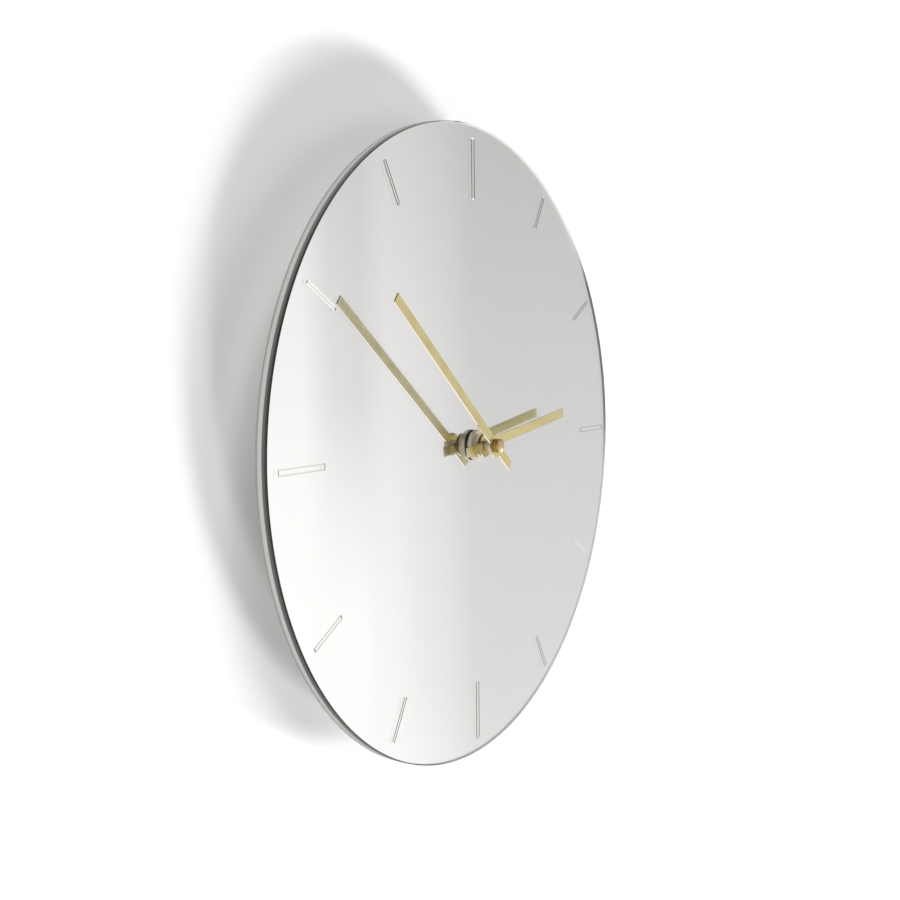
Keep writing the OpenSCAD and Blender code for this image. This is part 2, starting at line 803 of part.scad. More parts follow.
// Motor
module stator() {
    x0 = bobbin_x0 - run_gap;
    x1 = bobbin_x1 + run_gap;
    z_top = coil_z - bobbin_r - run_gap;
    z_side = z_top - core_w * 1.5;
    z_core = coil_z + core_w / 2;
    z_low = rotor_p[1] - magnet_r - magnet_gap - stator_web;
    neck = magnet_r + magnet_gap + stator_web / 2;
    color([0.6, 0.6, 0.62]) slab(y_s0, y_s1) difference() {
        polygon([[rotor_p[0], z_low], [core_x1, z_side], [core_x1, z_core], [x1, z_core], [x1, z_top],
            [x0, z_top], [x0, z_core], [core_x0, z_core], [core_x0, z_side]]);
        translate(rotor_p) circle(r = magnet_r + magnet_gap, $fn = 96);
        translate(rotor_p) square([magnet_gap, 2 * neck], center = true);
    }
}

module coil_core() {
    color([0.62, 0.62, 0.64]) block(core_x0, core_x1, y_s1, y_core, coil_z - core_w / 2, coil_z + core_w / 2);
}

module along_coil(x0, x1, r) {
    translate([x0, y_coil, coil_z]) rotate([0, 90, 0]) cylinder(h = x1 - x0, r = r, $fn = 64);
}

module coil_bobbin() {
    color([0.9, 0.9, 0.88]) difference() {
        union() {
            along_coil(bobbin_x0, bobbin_x0 + flange_t, bobbin_r);
            along_coil(bobbin_x1 - flange_t, bobbin_x1, bobbin_r);
            along_coil(bobbin_x0, bobbin_x1, tube_r);
        }
        block(core_x0, core_x1, y_s1 - run_fit, y_core + run_fit, coil_z - core_w / 2 - run_fit,
            coil_z + core_w / 2 + run_fit);
    }
}

module coil_winding() {
    color([0.7, 0.4, 0.2]) difference() {
        along_coil(bobbin_x0 + flange_t, bobbin_x1 - flange_t, bobbin_r - run_gap);
        along_coil(bobbin_x0, bobbin_x1, tube_r + press_fit);
    }
}

// Circuit
module circuit_board() {
    color([0.12, 0.35, 0.2]) block(board_x0, board_x1, y_board0, y_board1, board_z0, board_z1);
}

chip_r = 2.0;
chip_h = 0.9;
chip_z = board_pin_z[0] + pin_r + chip_r + 0.6;

module chip() {
    ball_r = (chip_r * chip_r + chip_h * chip_h) / (2 * chip_h);
    color([0.06, 0.06, 0.06]) translate([board_pin_x, 0, chip_z]) intersection() {
        disc(y_board0 - chip_h - over, y_board0, chip_r);
        translate([0, y_board0 - chip_h + ball_r, 0]) rotate([90, 0, 0]) sphere(r = ball_r, $fn = 96);
    }
}

module quartz_crystal() {
    z0 = chip_z + chip_r + crystal_r;
    lead_r = 0.2;
    color([0.75, 0.75, 0.77]) translate([board_pin_x, y_board0 - crystal_r, 0]) {
        translate([0, 0, z0]) cylinder(h = crystal_l, r = crystal_r, $fn = 64);
        for (x = [-1, 1] * crystal_r / 2) translate([x, 0, z0 - crystal_r / 2])
            cylinder(h = crystal_r, r = lead_r, $fn = 24);
    }
}

// Cell and contacts
module cell_can() {
    color([0.2, 0.22, 0.26]) translate([cell_x0, y_cell, z_cell]) rotate([0, 90, 0])
        cylinder(h = cell_l, r = cell_r, $fn = 128);
}

module cell_cap() {
    color([0.8, 0.8, 0.8]) translate([cell_x1, y_cell, z_cell]) rotate([0, 90, 0])
        cylinder(h = cap_h, r = cap_r, $fn = 96);
}

leaf_z0 = z_cell - cell_r / 2;
strip_z0 = z_part1 + 0.1;
strip_z1 = strip_z0 + tab_l;
tab_z1 = board_z0 + tab_l;
split_x = board_x0 + tab_gap + tab_l;

module positive_contact() {
    color([0.8, 0.78, 0.7]) {
        block(cap_x, cap_x + leaf_t, y_cell - leaf_w / 2, y_board0, leaf_z0, strip_z1);
        block(split_x + tab_gap, cap_x + leaf_t, y_board0 - leaf_t, y_board0, strip_z0, strip_z1);
        block(split_x + tab_gap, board_x1, y_board0 - leaf_t, y_board0, strip_z0, tab_z1);
    }
}

module negative_contact() {
    color([0.8, 0.78, 0.7]) {
        block(cell_x0 - leaf_t, cell_x0, y_cell - leaf_w / 2, y_board0, leaf_z0, strip_z1);
        block(cell_x0 - leaf_t, split_x, y_board0 - leaf_t, y_board0, strip_z0, strip_z1);
        block(board_x0, split_x, y_board0 - leaf_t, y_board0, strip_z0, tab_z1);
    }
}

mirror_sheet();
silver_film();
backing_sheet();
gasket();
hanger();
washer();
hex_nut();
threaded_bush();
hour_hand();
hour_collet();
minute_hand();
minute_collet();
hand_nut();
front_case();
rear_cover();
train_plate();
minute_arbor();
minute_wheel();
hour_wheel();
setting_stem();
setting_knob();
centre_wheel();
third_wheel();
seconds_wheel();
intermediate_wheel();
rotor_pinion();
rotor_magnet();
stator();
coil_core();
coil_bobbin();
coil_winding();
circuit_board();
chip();
quartz_crystal();
cell_can();
cell_cap();
positive_contact();
negative_contact();
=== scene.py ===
# %% [markdown]
# # A frameless mirror wall clock
# The real clock is a round mirror, 300 mm across, with twelve engraved hour marks, two brass hands and
# a quartz movement behind it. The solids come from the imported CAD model, which is loaded as a fixed
# frame. This lesson only dresses it: finishes, a few turned pieces that are finer than the CAD ones,
# the wall, the light and the camera. Lengths are in metres, apart from names that end in _mm and the
# profiles for the lathe, which are in millimetres.

# %% Load the frame
import math

import bmesh
import bpy
import numpy as np
from mathutils import Matrix, Vector


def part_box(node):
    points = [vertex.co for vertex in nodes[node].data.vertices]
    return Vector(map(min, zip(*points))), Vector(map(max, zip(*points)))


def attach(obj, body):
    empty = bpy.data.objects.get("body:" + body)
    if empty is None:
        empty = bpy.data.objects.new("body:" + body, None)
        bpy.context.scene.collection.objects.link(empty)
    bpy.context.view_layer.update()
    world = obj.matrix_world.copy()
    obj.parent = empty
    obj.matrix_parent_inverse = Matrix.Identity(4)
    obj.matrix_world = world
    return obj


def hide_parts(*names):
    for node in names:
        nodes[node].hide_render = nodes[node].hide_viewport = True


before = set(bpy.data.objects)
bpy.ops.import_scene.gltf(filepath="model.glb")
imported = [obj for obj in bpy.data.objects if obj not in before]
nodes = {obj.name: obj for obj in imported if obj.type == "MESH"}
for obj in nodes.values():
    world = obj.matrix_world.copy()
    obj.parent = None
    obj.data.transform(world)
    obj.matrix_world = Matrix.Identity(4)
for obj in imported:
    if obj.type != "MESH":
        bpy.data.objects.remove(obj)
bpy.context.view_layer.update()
MM = 0.001

# %% [markdown]
# ## Where things are
# The finishes need a few planes and radii of the real clock. They are read from the boxes of the CAD
# nodes, so that a change of size in the CAD moves the finishes with it. A box doesn't tell which way a
# hand points, so these two angles are repeated from the CAD source, in degrees clockwise from twelve.

# %% Measure the face
glass_lo, glass_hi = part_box("mirror_sheet")
FACE_R = glass_hi.x
Y_FACE = glass_lo.y
Y_SILVER = glass_hi.y
Y_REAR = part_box("backing_sheet")[1].y
MINUTE_TURN = math.radians(308.3)
HOUR_TURN = math.radians(81.7)
print("face radius", round(FACE_R / MM, 2), "mm, front plane", round(Y_FACE / MM, 2), "mm")

# %% [markdown]
# ## Two helpers for every finish
# Colours are written as the sRGB hex values that a paint chart gives. Blender shades in linear light,
# so one function converts them. A second function adds any node with its settings and its links, which
# keeps each finish short enough to read as a recipe.

# %% Colour and node helpers
def linear(hex_colour):
    """sRGB to linear: a channel c is c / 12.92 up to 0.04045, and ((c + 0.055) / 1.055) ** 2.4 above."""
    c = np.array([int(hex_colour[i:i + 2], 16) for i in (1, 3, 5)]) / 255
    c = np.where(c <= 0.04045, c / 12.92, ((c + 0.055) / 1.055) ** 2.4)
    return (*c.tolist(), 1.0)


def add(tree, kind, sockets=None, stops=None, **settings):
    """Adds one node. settings are its properties and stops the (place, colour) pairs of a ramp. sockets
    gives each input, by name or number, a constant or the output socket that feeds it."""
    node = tree.nodes.new(kind)
    for name, value in settings.items():
        setattr(node, name, value)
    if stops:
        ends = node.color_ramp.elements
        ends[0].position, ends[-1].position = stops[0][0], stops[-1][0]
        for place, colour in stops[1:-1]:
            ends.new(place).color = colour
        ends[0].color, ends[-1].color = stops[0][1], stops[-1][1]
    for key, value in (sockets or {}).items():
        if isinstance(value, bpy.types.NodeSocket):
            tree.links.new(value, node.inputs[key])
        else:
            node.inputs[key].default_value = value
    return node


def start_finish(name):
    """An empty material: returns it, its node tree and its Object coordinates."""
    material = bpy.data.materials.new(name)
    material.use_nodes = True
    tree = material.node_tree
    tree.nodes.clear()
    return material, tree, add(tree, "ShaderNodeTexCoord").outputs["Object"]


def end_finish(material, tree, sockets):
    """Gives the material one Principled surface with these sockets."""
    surface = add(tree, "ShaderNodeBsdfPrincipled", sockets)
    add(tree, "ShaderNodeOutputMaterial", {"Surface": surface.outputs[0]})
    print("finish:", material.name, "with", len(tree.nodes), "nodes")
    return material


finishes = {}

# %% [markdown]
# ## Silvered glass
# The face is one clear polished sheet with a mirror film on its back. Light goes in through the front,
# is thrown back by the film and comes out again, so everything is mirrored a little behind the front
# face and the front adds its own faint second image. That is why the sheet is real glass here and not
# a flat mirror colour. One surface carries four zones, told apart by where a point lies: the clear
# front, the film on the back, the cut edge and the engraved lines.

# %% Zones of the mirror glass
# How near to the back, the rim or the front a point still counts as that zone. No line is near the rim.
BACK_SKIN = 0.02 * MM
EDGE_WIDTH = 0.5 * MM
LINE_SKIN = 0.006 * MM
DIAL_MARGIN = 2 * MM
material, tree, place = start_finish("silvered_glass")
xyz = add(tree, "ShaderNodeSeparateXYZ", {0: place})
flat = add(tree, "ShaderNodeVectorMath", {0: place, 1: (1, 0, 1)}, operation="MULTIPLY")
radius = add(tree, "ShaderNodeVectorMath", {0: flat.outputs[0]}, operation="LENGTH").outputs["Value"]
depth = xyz.outputs["Y"]
is_back = add(tree, "ShaderNodeMath", {0: depth, 1: Y_SILVER - BACK_SKIN},
              operation="GREATER_THAN").outputs[0]
is_edge = add(tree, "ShaderNodeMath", {0: radius, 1: FACE_R - EDGE_WIDTH},
              operation="GREATER_THAN").outputs[0]
is_low = add(tree, "ShaderNodeMath", {0: depth, 1: Y_FACE + LINE_SKIN},
             operation="GREATER_THAN").outputs[0]
is_dial = add(tree, "ShaderNodeMath", {0: radius, 1: FACE_R - DIAL_MARGIN},
              operation="LESS_THAN").outputs[0]
not_back = add(tree, "ShaderNodeMath", {0: 1.0, 1: is_back}, operation="SUBTRACT").outputs[0]
in_sheet = add(tree, "ShaderNodeMath", {0: is_low, 1: is_dial}, operation="MULTIPLY").outputs[0]
in_line = add(tree, "ShaderNodeMath", {0: in_sheet, 1: not_back}, operation="MULTIPLY").outputs[0]
print("zones of", material.name, "told apart by", len(tree.nodes), "nodes")

# %% [markdown]
# The cut edge has no colour of its own either: its greys are painted reflection and painted shade,
# set by what each part of it looks at. On the left it is seen from outside and is painted dark, because
# it looks along the inside of the sheet. On the far side it is seen through the face: the white wall
# shows through it, but for a painted dark stretch from half past one to three. So its grey follows the
# clock: one ramp for the front half of its depth, one for the rear half, both from six o'clock through
# nine, twelve and three back to six. The left part, and all of the sheet's side that is seen from
# outside, is solid, with the same greys left and right. The rest is clear and takes the grey as a tint.

# %% Left part of the cut edge and its outer side
# Shares of the way round from six o'clock, and the tilt up to which a face counts as the sheet's side.
LEFT_MIDDLE = 0.265
LEFT_REACH = 0.205
SIDE_SLOPE = 0.3
turn = add(tree, "ShaderNodeMath", {0: xyz.outputs["X"], 1: xyz.outputs["Z"]},
           operation="ARCTAN2").outputs[0]
clock = add(tree, "ShaderNodeMapRange", {"Value": turn, "From Min": -math.pi,
                                         "From Max": math.pi}).outputs[0]
is_left = add(tree, "ShaderNodeMath", {0: clock, 1: LEFT_MIDDLE, 2: LEFT_REACH},
              operation="COMPARE").outputs[0]
inside = add(tree, "ShaderNodeNewGeometry").outputs["Backfacing"]
outside = add(tree, "ShaderNodeMath", {0: 1.0, 1: inside}, operation="SUBTRACT").outputs[0]
own_normal = add(tree, "ShaderNodeNewGeometry").outputs["Normal"]
slope = add(tree, "ShaderNodeSeparateXYZ", {0: own_normal}).outputs["Y"]
is_side = add(tree, "ShaderNodeMath", {0: slope, 1: 0.0, 2: SIDE_SLOPE}, operation="COMPARE").outputs[0]
side_seen = add(tree, "ShaderNodeMath", {0: is_side, 1: outside}, operation="MULTIPLY").outputs[0]
solid = add(tree, "ShaderNodeMath", {0: is_left, 1: side_seen}, operation="MAXIMUM").outputs[0]
folded = add(tree, "ShaderNodeMath", {0: clock, 1: 0.5}, operation="PINGPONG").outputs[0]
clock = add(tree, "ShaderNodeMix", {0: side_seen, 2: clock, 3: folded}).outputs[0]
solid_hours = [round(6 + 12 * (LEFT_MIDDLE + way * LEFT_REACH), 2) for way in (-1, 1)]
print("edge solid between the hours", solid_hours)

# %% [markdown]
# The greys could be one flat tint, but the edge of the real sheet changes all the way round, because
# each part of it looks another way. A few stops on two ramps paint that reflection and shade into the
# colour. Polishing streaks break up the painted greys.

# %% Painted reflection and shade of the cut edge
edge_front_painted_light = add(tree, "ShaderNodeValToRGB", {0: clock}, stops=[
    (0.0, linear("#6a6a68")), (0.05, linear("#6a6a68")), (0.08, linear("#565656")),
    (0.17, linear("#3a3a3a")), (0.33, linear("#3c3c3c")), (0.41, linear("#686868")),
    (0.44, linear("#a4a4a2")), (0.47, linear("#d0d0ce")), (0.5, linear("#fbfaf5")),
    (0.62, linear("#fbfaf5")), (0.66, linear("#262626")), (0.74, linear("#2a2a2a")),
    (0.78, linear("#929290")), (0.9, linear("#929290")), (0.96, linear("#6a6a68")),
    (1.0, linear("#6a6a68"))])
edge_rear_painted_light = add(tree, "ShaderNodeValToRGB", {0: clock}, stops=[
    (0.0, linear("#6a6a68")), (0.05, linear("#6a6a68")), (0.1, linear("#6a6a6a")),
    (0.25, linear("#707070")), (0.42, linear("#8a8a8a")), (0.48, linear("#c8c8c6")),
    (0.5, linear("#fbfaf5")), (0.61, linear("#fbfaf5")), (0.65, linear("#101010")),
    (0.75, linear("#181818")), (0.78, linear("#929290")), (0.9, linear("#929290")),
    (0.96, linear("#6a6a68")), (1.0, linear("#6a6a68"))])
# The two ramps blend in the middle of the depth.
deep = add(tree, "ShaderNodeMapRange", {"Value": depth, "From Min": Y_FACE, "From Max": Y_SILVER,
                                        "To Min": -0.6, "To Max": 1.6}).outputs[0]
edge_painted_light = add(tree, "ShaderNodeMix", {0: deep, 6: edge_front_painted_light.outputs[0], 7: edge_rear_painted_light.outputs[0]},
                data_type="RGBA")
# Polishing streaks round the edge: about 3 mm long and 0.3 mm wide.
streak = add(tree, "ShaderNodeMapping", {"Vector": place, "Scale": (0.3, 3.0, 0.3)})
grind = add(tree, "ShaderNodeTexNoise", {"Vector": streak.outputs[0], "Scale": 1 / (1 * MM), "Detail": 3.0})
polish = add(tree, "ShaderNodeMapRange", {"Value": grind.outputs[0], "To Min": 0.8, "To Max": 1.2})
edge_painted_light_streaked = add(tree, "ShaderNodeVectorMath", {0: edge_painted_light.outputs[2], 1: polish.outputs[0]},
                 operation="MULTIPLY")
is_cut = add(tree, "ShaderNodeMath", {0: is_edge, 1: solid}, operation="MULTIPLY").outputs[0]
is_open = add(tree, "ShaderNodeMath", {0: is_edge, 1: is_cut}, operation="SUBTRACT").outputs[0]
print("edge ramps with", len(edge_front_painted_light.color_ramp.elements), "and",
      len(edge_rear_painted_light.color_ramp.elements), "stops")

# %% [markdown]
# The engraved lines are little V grooves with bright walls, and each wall throws back another part of
# the room: dark beside twelve, white beside ten. They are solid only from outside. From inside the
# sheet a groove counts as flat clear glass, so the mirror doesn't draw each line a second time.

# %% Engraved lines
is_line = add(tree, "ShaderNodeMath", {0: in_line, 1: outside}, operation="MULTIPLY").outputs[0]
is_hidden = add(tree, "ShaderNodeMath", {0: in_line, 1: inside}, operation="MULTIPLY").outputs[0]
normal = add(tree, "ShaderNodeMix", {0: is_hidden, 4: own_normal, 5: (0, 1, 0)}, data_type="VECTOR")
# Cutter marks along the engraved lines: about 0.2 mm, which is as coarse as the line can show.
chatter = add(tree, "ShaderNodeTexNoise", {"Vector": place, "Scale": 1 / (0.2 * MM), "Detail": 2.0})
line_tone_and_painted_shade = add(tree, "ShaderNodeValToRGB", {0: chatter.outputs[0]},
                 stops=[(0.3, linear("#eeeeec")), (0.7, linear("#fbfbf9"))])
# Painted shade: the lines on the right are darkened a little.
painted_shade_on_right = add(tree, "ShaderNodeMapRange", {"Value": xyz.outputs["X"], "From Min": 0.3 * FACE_R,
                                        "From Max": 0.7 * FACE_R, "To Min": 1.0, "To Max": 0.9})
line_tone_and_painted_shade = add(tree, "ShaderNodeVectorMath", {0: line_tone_and_painted_shade.outputs[0], 1: painted_shade_on_right.outputs[0]},
                 operation="MULTIPLY")
print("line colour with", len(tree.nodes), "nodes so far")

# %% [markdown]
# Now the zones are put together into one surface. Clear glass lets all light through and bends it by its
# index. The film and the lines are metal, and the solid part of the edge is neither. The open part of
# the edge has almost the index of air, so that light leaves it straight and the wall shows through.

# %% Glass surface
GLASS_IOR = 1.5
OPEN_EDGE_IOR = 1.01
LINE_ROUGHNESS = 0.14
CUT_ROUGHNESS = 0.28
clear = add(tree, "ShaderNodeMix", {0: is_line, 6: linear("#fafaf9"), 7: line_tone_and_painted_shade.outputs[0]},
            data_type="RGBA")
cut = add(tree, "ShaderNodeMix", {0: is_edge, 6: clear.outputs[2], 7: edge_painted_light_streaked.outputs[0]},
          data_type="RGBA")
shade = add(tree, "ShaderNodeMix", {0: is_back, 6: cut.outputs[2], 7: linear("#f3f2f1")}, data_type="RGBA")
line_or_cut = add(tree, "ShaderNodeMath", {0: is_line, 1: is_cut}, operation="MAXIMUM").outputs[0]
opaque = add(tree, "ShaderNodeMath", {0: line_or_cut, 1: is_back}, operation="MAXIMUM").outputs[0]
through = add(tree, "ShaderNodeMath", {0: 1.0, 1: opaque}, operation="SUBTRACT").outputs[0]
metal = add(tree, "ShaderNodeMath", {0: is_line, 1: is_back}, operation="MAXIMUM").outputs[0]
cut_rough = add(tree, "ShaderNodeMath", {0: is_cut, 1: CUT_ROUGHNESS}, operation="MULTIPLY").outputs[0]
rough = add(tree, "ShaderNodeMath", {0: is_line, 1: LINE_ROUGHNESS, 2: cut_rough},
            operation="MULTIPLY_ADD").outputs[0]
bend = add(tree, "ShaderNodeMath", {0: is_open, 1: OPEN_EDGE_IOR - GLASS_IOR, 2: GLASS_IOR},
           operation="MULTIPLY_ADD").outputs[0]
finishes["mirror_glass"] = end_finish(material, tree, {
    "Base Color": shade.outputs[2], "Metallic": metal, "Roughness": rough,
    "Transmission Weight": through, "IOR": bend, "Normal": normal.outputs[1]})

# %% [markdown]
# ## Silvering
# The film is bright metal towards the glass and is covered with a grey paint coat behind, which shows
# at the rim as a hair line. The depth of a point tells which of the two it is, so one finish does both.

# %% Silver film and its paint
FILM_SKIN = 0.04 * MM
material, tree, place = start_finish("silver_film_with_paint")
xyz = add(tree, "ShaderNodeSeparateXYZ", {0: place})
is_film = add(tree, "ShaderNodeMath", {0: xyz.outputs["Y"], 1: Y_SILVER + FILM_SKIN},
              operation="LESS_THAN").outputs[0]
# Paint speckle of about 1 mm.
speckle = add(tree, "ShaderNodeTexNoise", {"Vector": place, "Scale": 1 / (1 * MM), "Detail": 2.0})
paint = add(tree, "ShaderNodeValToRGB", {0: speckle.outputs[0]},
            stops=[(0.35, linear("#6f7271")), (0.65, linear("#868988"))])
shade = add(tree, "ShaderNodeMix", {0: is_film, 6: paint.outputs[0], 7: linear("#f1f2f1")},
            data_type="RGBA")
rough = add(tree, "ShaderNodeMapRange", {"Value": is_film, "To Min": 0.5, "To Max": 0.0})
finishes["silvering"] = end_finish(material, tree, {
    "Base Color": shade.outputs[2], "Metallic": is_film, "Roughness": rough.outputs[0]})

# %% [markdown]
# ## The board behind it
# The backing is a pale satin plastic sheet with a sawn edge: fine upright saw marks and no shine to
# speak of. Its edge turns darker and tan towards the rear, and its rear face is painted grey as painted
# shade, so that it lights the wall behind the disc less. A ramp over the depth gives these tones.

# %% Backing board
material, tree, place = start_finish("satin_pvc_board")
# Saw marks stand across the edge: about 0.25 mm apart round the rim and several mm long in depth.
saw = add(tree, "ShaderNodeMapping", {"Vector": place, "Scale": (1.0, 0.06, 1.0)})
marks = add(tree, "ShaderNodeTexNoise", {"Vector": saw.outputs[0], "Scale": 1 / (0.5 * MM), "Detail": 3.0})
cloud = add(tree, "ShaderNodeTexNoise", {"Vector": place, "Scale": 1 / (40 * MM), "Detail": 3.0})
xyz = add(tree, "ShaderNodeSeparateXYZ", {0: place})
depth = add(tree, "ShaderNodeMapRange", {"Value": xyz.outputs["Y"], "From Min": Y_SILVER,
                                         "From Max": Y_REAR}).outputs[0]
# Pale front, darker and tan towards the rear, and a rear face painted grey as painted shade.
depth_tone_and_painted_shade = add(tree, "ShaderNodeValToRGB", {0: depth}, stops=[
    (0.0, linear("#e8e7e4")), (0.66, linear("#e8e7e4")), (0.76, linear("#c0b8ab")),
    (0.98, linear("#bab2a5")), (1.0, linear("#8e8e8c"))])
uneven = add(tree, "ShaderNodeMapRange", {"Value": cloud.outputs[0], "To Min": 0.94, "To Max": 1.06})
tone = add(tree, "ShaderNodeVectorMath", {0: depth_tone_and_painted_shade.outputs[0], 1: uneven.outputs[0]}, operation="MULTIPLY")
bump = add(tree, "ShaderNodeBump", {"Height": marks.outputs[0], "Distance": 0.03 * MM, "Strength": 0.5})
rough = add(tree, "ShaderNodeMapRange", {"Value": marks.outputs[0], "To Min": 0.38, "To Max": 0.55})
finishes["backing_board"] = end_finish(material, tree, {
    "Base Color": tone.outputs[0], "Roughness": rough.outputs[0], "Normal": bump.outputs[0]})

# %% [markdown]
# ## Brushed brass hands
# The hands are cut from brass strip that was brushed along its length, so its scratches run straight
# from the eye to the tip. Noise stretched along one axis gives such scratches. Each hand points its own
# way, so the pattern is first turned by the angle of the hand about the axis of the clock.

# %% Brushed brass
def brushed_brass(name, turn, painted_light_rear_dark, painted_light_rear_pale):
    """Brushed brass for a hand turned by this angle, with two painted light tones for its rear face."""
    material, tree, place = start_finish(name)
    along = add(tree, "ShaderNodeVectorRotate", {"Vector": place, "Axis": (0, 1, 0), "Angle": -turn})
    # Scratches about 0.15 mm wide and 12 mm long.
    grain = add(tree, "ShaderNodeMapping", {"Vector": along.outputs[0], "Scale": (1.0, 1.0, 0.0125)})
    lines = add(tree, "ShaderNodeTexNoise", {"Vector": grain.outputs[0], "Scale": 1 / (0.3 * MM),
                                             "Detail": 4.0})
    # Uneven tarnish in patches of about 9 mm.
    patch = add(tree, "ShaderNodeTexNoise", {"Vector": place, "Scale": 1 / (9 * MM), "Detail": 3.0})
    mixed = add(tree, "ShaderNodeMix", {0: 0.35, 2: lines.outputs[0], 3: patch.outputs[0]})
    tone = add(tree, "ShaderNodeValToRGB", {0: mixed.outputs[0]},
               stops=[(0.3, linear("#c8b57c")), (0.5, linear("#d8c992")), (0.7, linear("#e4d9ab"))])
    # The rear face, which only the mirror shows, is painted paler: painted light that brightens the mirror
    # images of the hands.
    own_normal = add(tree, "ShaderNodeNewGeometry").outputs["Normal"]
    facing = add(tree, "ShaderNodeSeparateXYZ", {0: own_normal})
    is_rear = add(tree, "ShaderNodeMath", {0: facing.outputs["Y"], 1: 0.5},
                  operation="GREATER_THAN").outputs[0]
    rear_painted_light = add(tree, "ShaderNodeValToRGB", {0: mixed.outputs[0]},
               stops=[(0.3, linear(painted_light_rear_dark)), (0.7, linear(painted_light_rear_pale))])
    tone = add(tree, "ShaderNodeMix", {0: is_rear, 6: tone.outputs[0], 7: rear_painted_light.outputs[0]},
               data_type="RGBA")
    # The sheared sides are polished, and their colour is painted light: a painted highlight where they face
    # down and painted shade, brown, where they face up.
    is_side = add(tree, "ShaderNodeMath", {0: facing.outputs["Y"], 1: 0.0, 2: 0.5},
                  operation="COMPARE").outputs[0]
    upward = add(tree, "ShaderNodeMapRange", {"Value": facing.outputs["Z"], "From Min": -1.0,
                                              "From Max": 1.0})
    side = add(tree, "ShaderNodeValToRGB", {0: upward.outputs[0]},
               stops=[(0.3, linear("#fdf9ec")), (0.6, linear("#54432c"))])
    tone = add(tree, "ShaderNodeMix", {0: is_side, 6: tone.outputs[2], 7: side.outputs[0]},
               data_type="RGBA")
    rough = add(tree, "ShaderNodeMapRange", {"Value": mixed.outputs[0], "From Min": 0.3, "From Max": 0.7,
                                             "To Min": 0.34, "To Max": 0.24})
    rough = add(tree, "ShaderNodeMix", {0: is_side, 2: rough.outputs[0], 3: 0.12})
    bump = add(tree, "ShaderNodeBump", {"Height": lines.outputs[0], "Distance": 0.01 * MM,
                                        "Strength": 0.35})
    return end_finish(material, tree, {
        "Base Color": tone.outputs[2], "Metallic": 1.0, "Roughness": rough.outputs[0],
        "Normal": bump.outputs[0]})


# The last two colours of each hand are the painted light of its rear face.
finishes["brass_minute"] = brushed_brass("brushed_brass_minute_hand", MINUTE_TURN, "#d8ce9f", "#eee6bf")
finishes["brass_hour"] = brushed_brass("brushed_brass_hour_hand", HOUR_TURN, "#e4da9a", "#faf2b9")

# %% [markdown]
# ## Turned metals
# The hand nut and the eyelet of the hour hand are turned brass. The washer, the hexagon nut, the bush
# and the spacer are nickel plated. A lathe leaves rings about its axis, so the pattern is a wave of the
# distance from the axis, softened by a little noise.

# %% Turned brass and nickel plate
def turned_metal(name, dark, pale, rough_lo, rough_hi):
    """Metal with lathe rings and two tones of wear. A dull skin makes it a little less than all metal."""
    material, tree, place = start_finish(name)
    flat = add(tree, "ShaderNodeVectorMath", {0: place, 1: (1, 0, 1)}, operation="MULTIPLY")
    radius = add(tree, "ShaderNodeVectorMath", {0: flat.outputs[0]}, operation="LENGTH").outputs["Value"]
    # Lathe rings about 0.12 mm apart.
    rings = add(tree, "ShaderNodeMath", {0: radius, 1: 2 * math.pi / (0.12 * MM)}, operation="MULTIPLY")
    wave = add(tree, "ShaderNodeMath", {0: rings.outputs[0]}, operation="SINE")
    # Handling wear in patches of about 2 mm.
    wear = add(tree, "ShaderNodeTexNoise", {"Vector": place, "Scale": 1 / (2 * MM), "Detail": 4.0})
    tone = add(tree, "ShaderNodeValToRGB", {0: wear.outputs[0]},
               stops=[(0.3, linear(dark)), (0.7, linear(pale))])
    rough = add(tree, "ShaderNodeMapRange", {"Value": wear.outputs[0], "From Min": 0.3, "From Max": 0.7,
                                             "To Min": rough_hi, "To Max": rough_lo})
    bump = add(tree, "ShaderNodeBump", {"Height": wave.outputs[0], "Distance": 0.004 * MM,
                                        "Strength": 0.25})
    return end_finish(material, tree, {
        "Base Color": tone.outputs[0], "Metallic": 0.9, "Roughness": rough.outputs[0],
        "Normal": bump.outputs[0]})


finishes["polished_brass"] = turned_metal("turned_brass", "#b99a66", "#dabf8d", 0.1, 0.17)
finishes["nickel_plate"] = turned_metal("satin_nickel_plate", "#efe3ce", "#fbf0de", 0.4, 0.54)
finishes["crystal_can"] = turned_metal("tinned_can", "#bcbcbc", "#d0d0d0", 0.2, 0.32)
finishes["soft_iron"] = turned_metal("stamped_soft_iron", "#8d8d90", "#a3a3a6", 0.3, 0.42)
finishes["contact_metal"] = turned_metal("nickel_plated_strip", "#b9b6ad", "#cfccc4", 0.18, 0.3)
finishes["magnet"] = turned_metal("sintered_magnet", "#56565a", "#6b6b70", 0.4, 0.55)

# %% [markdown]
# ## Zinc plated steel
# The hanging plate is stamped sheet steel with a zinc coat. Zinc sets in crystals a few millimetres
# across, each of a slightly different grey, which a cell pattern gives at once.

# %% Zinc plate
material, tree, place = start_finish("zinc_plated_steel")
crystal = add(tree, "ShaderNodeTexVoronoi", {"Vector": place, "Scale": 1 / (4 * MM)})
tone = add(tree, "ShaderNodeValToRGB", {0: crystal.outputs["Color"]},
           stops=[(0.1, linear("#9aa0a6")), (0.9, linear("#c3c8cc"))])
scuff = add(tree, "ShaderNodeTexNoise", {"Vector": place, "Scale": 1 / (1.5 * MM), "Detail": 4.0})
rough = add(tree, "ShaderNodeMapRange", {"Value": scuff.outputs[0], "To Min": 0.28, "To Max": 0.5})
finishes["zinc_plated_steel"] = end_finish(material, tree, {
    "Base Color": tone.outputs[0], "Metallic": 1.0, "Roughness": rough.outputs[0]})

# %% [markdown]
# ## Moulded plastics, rubber and resin
# The movement's case is black ABS from a spark-eroded mould, which leaves an even fine grit. The wheels
# and the train plate are white acetal, smoother and a little waxy. The gasket is black rubber. All of
# them are one recipe with other colours, grit sizes and gloss.

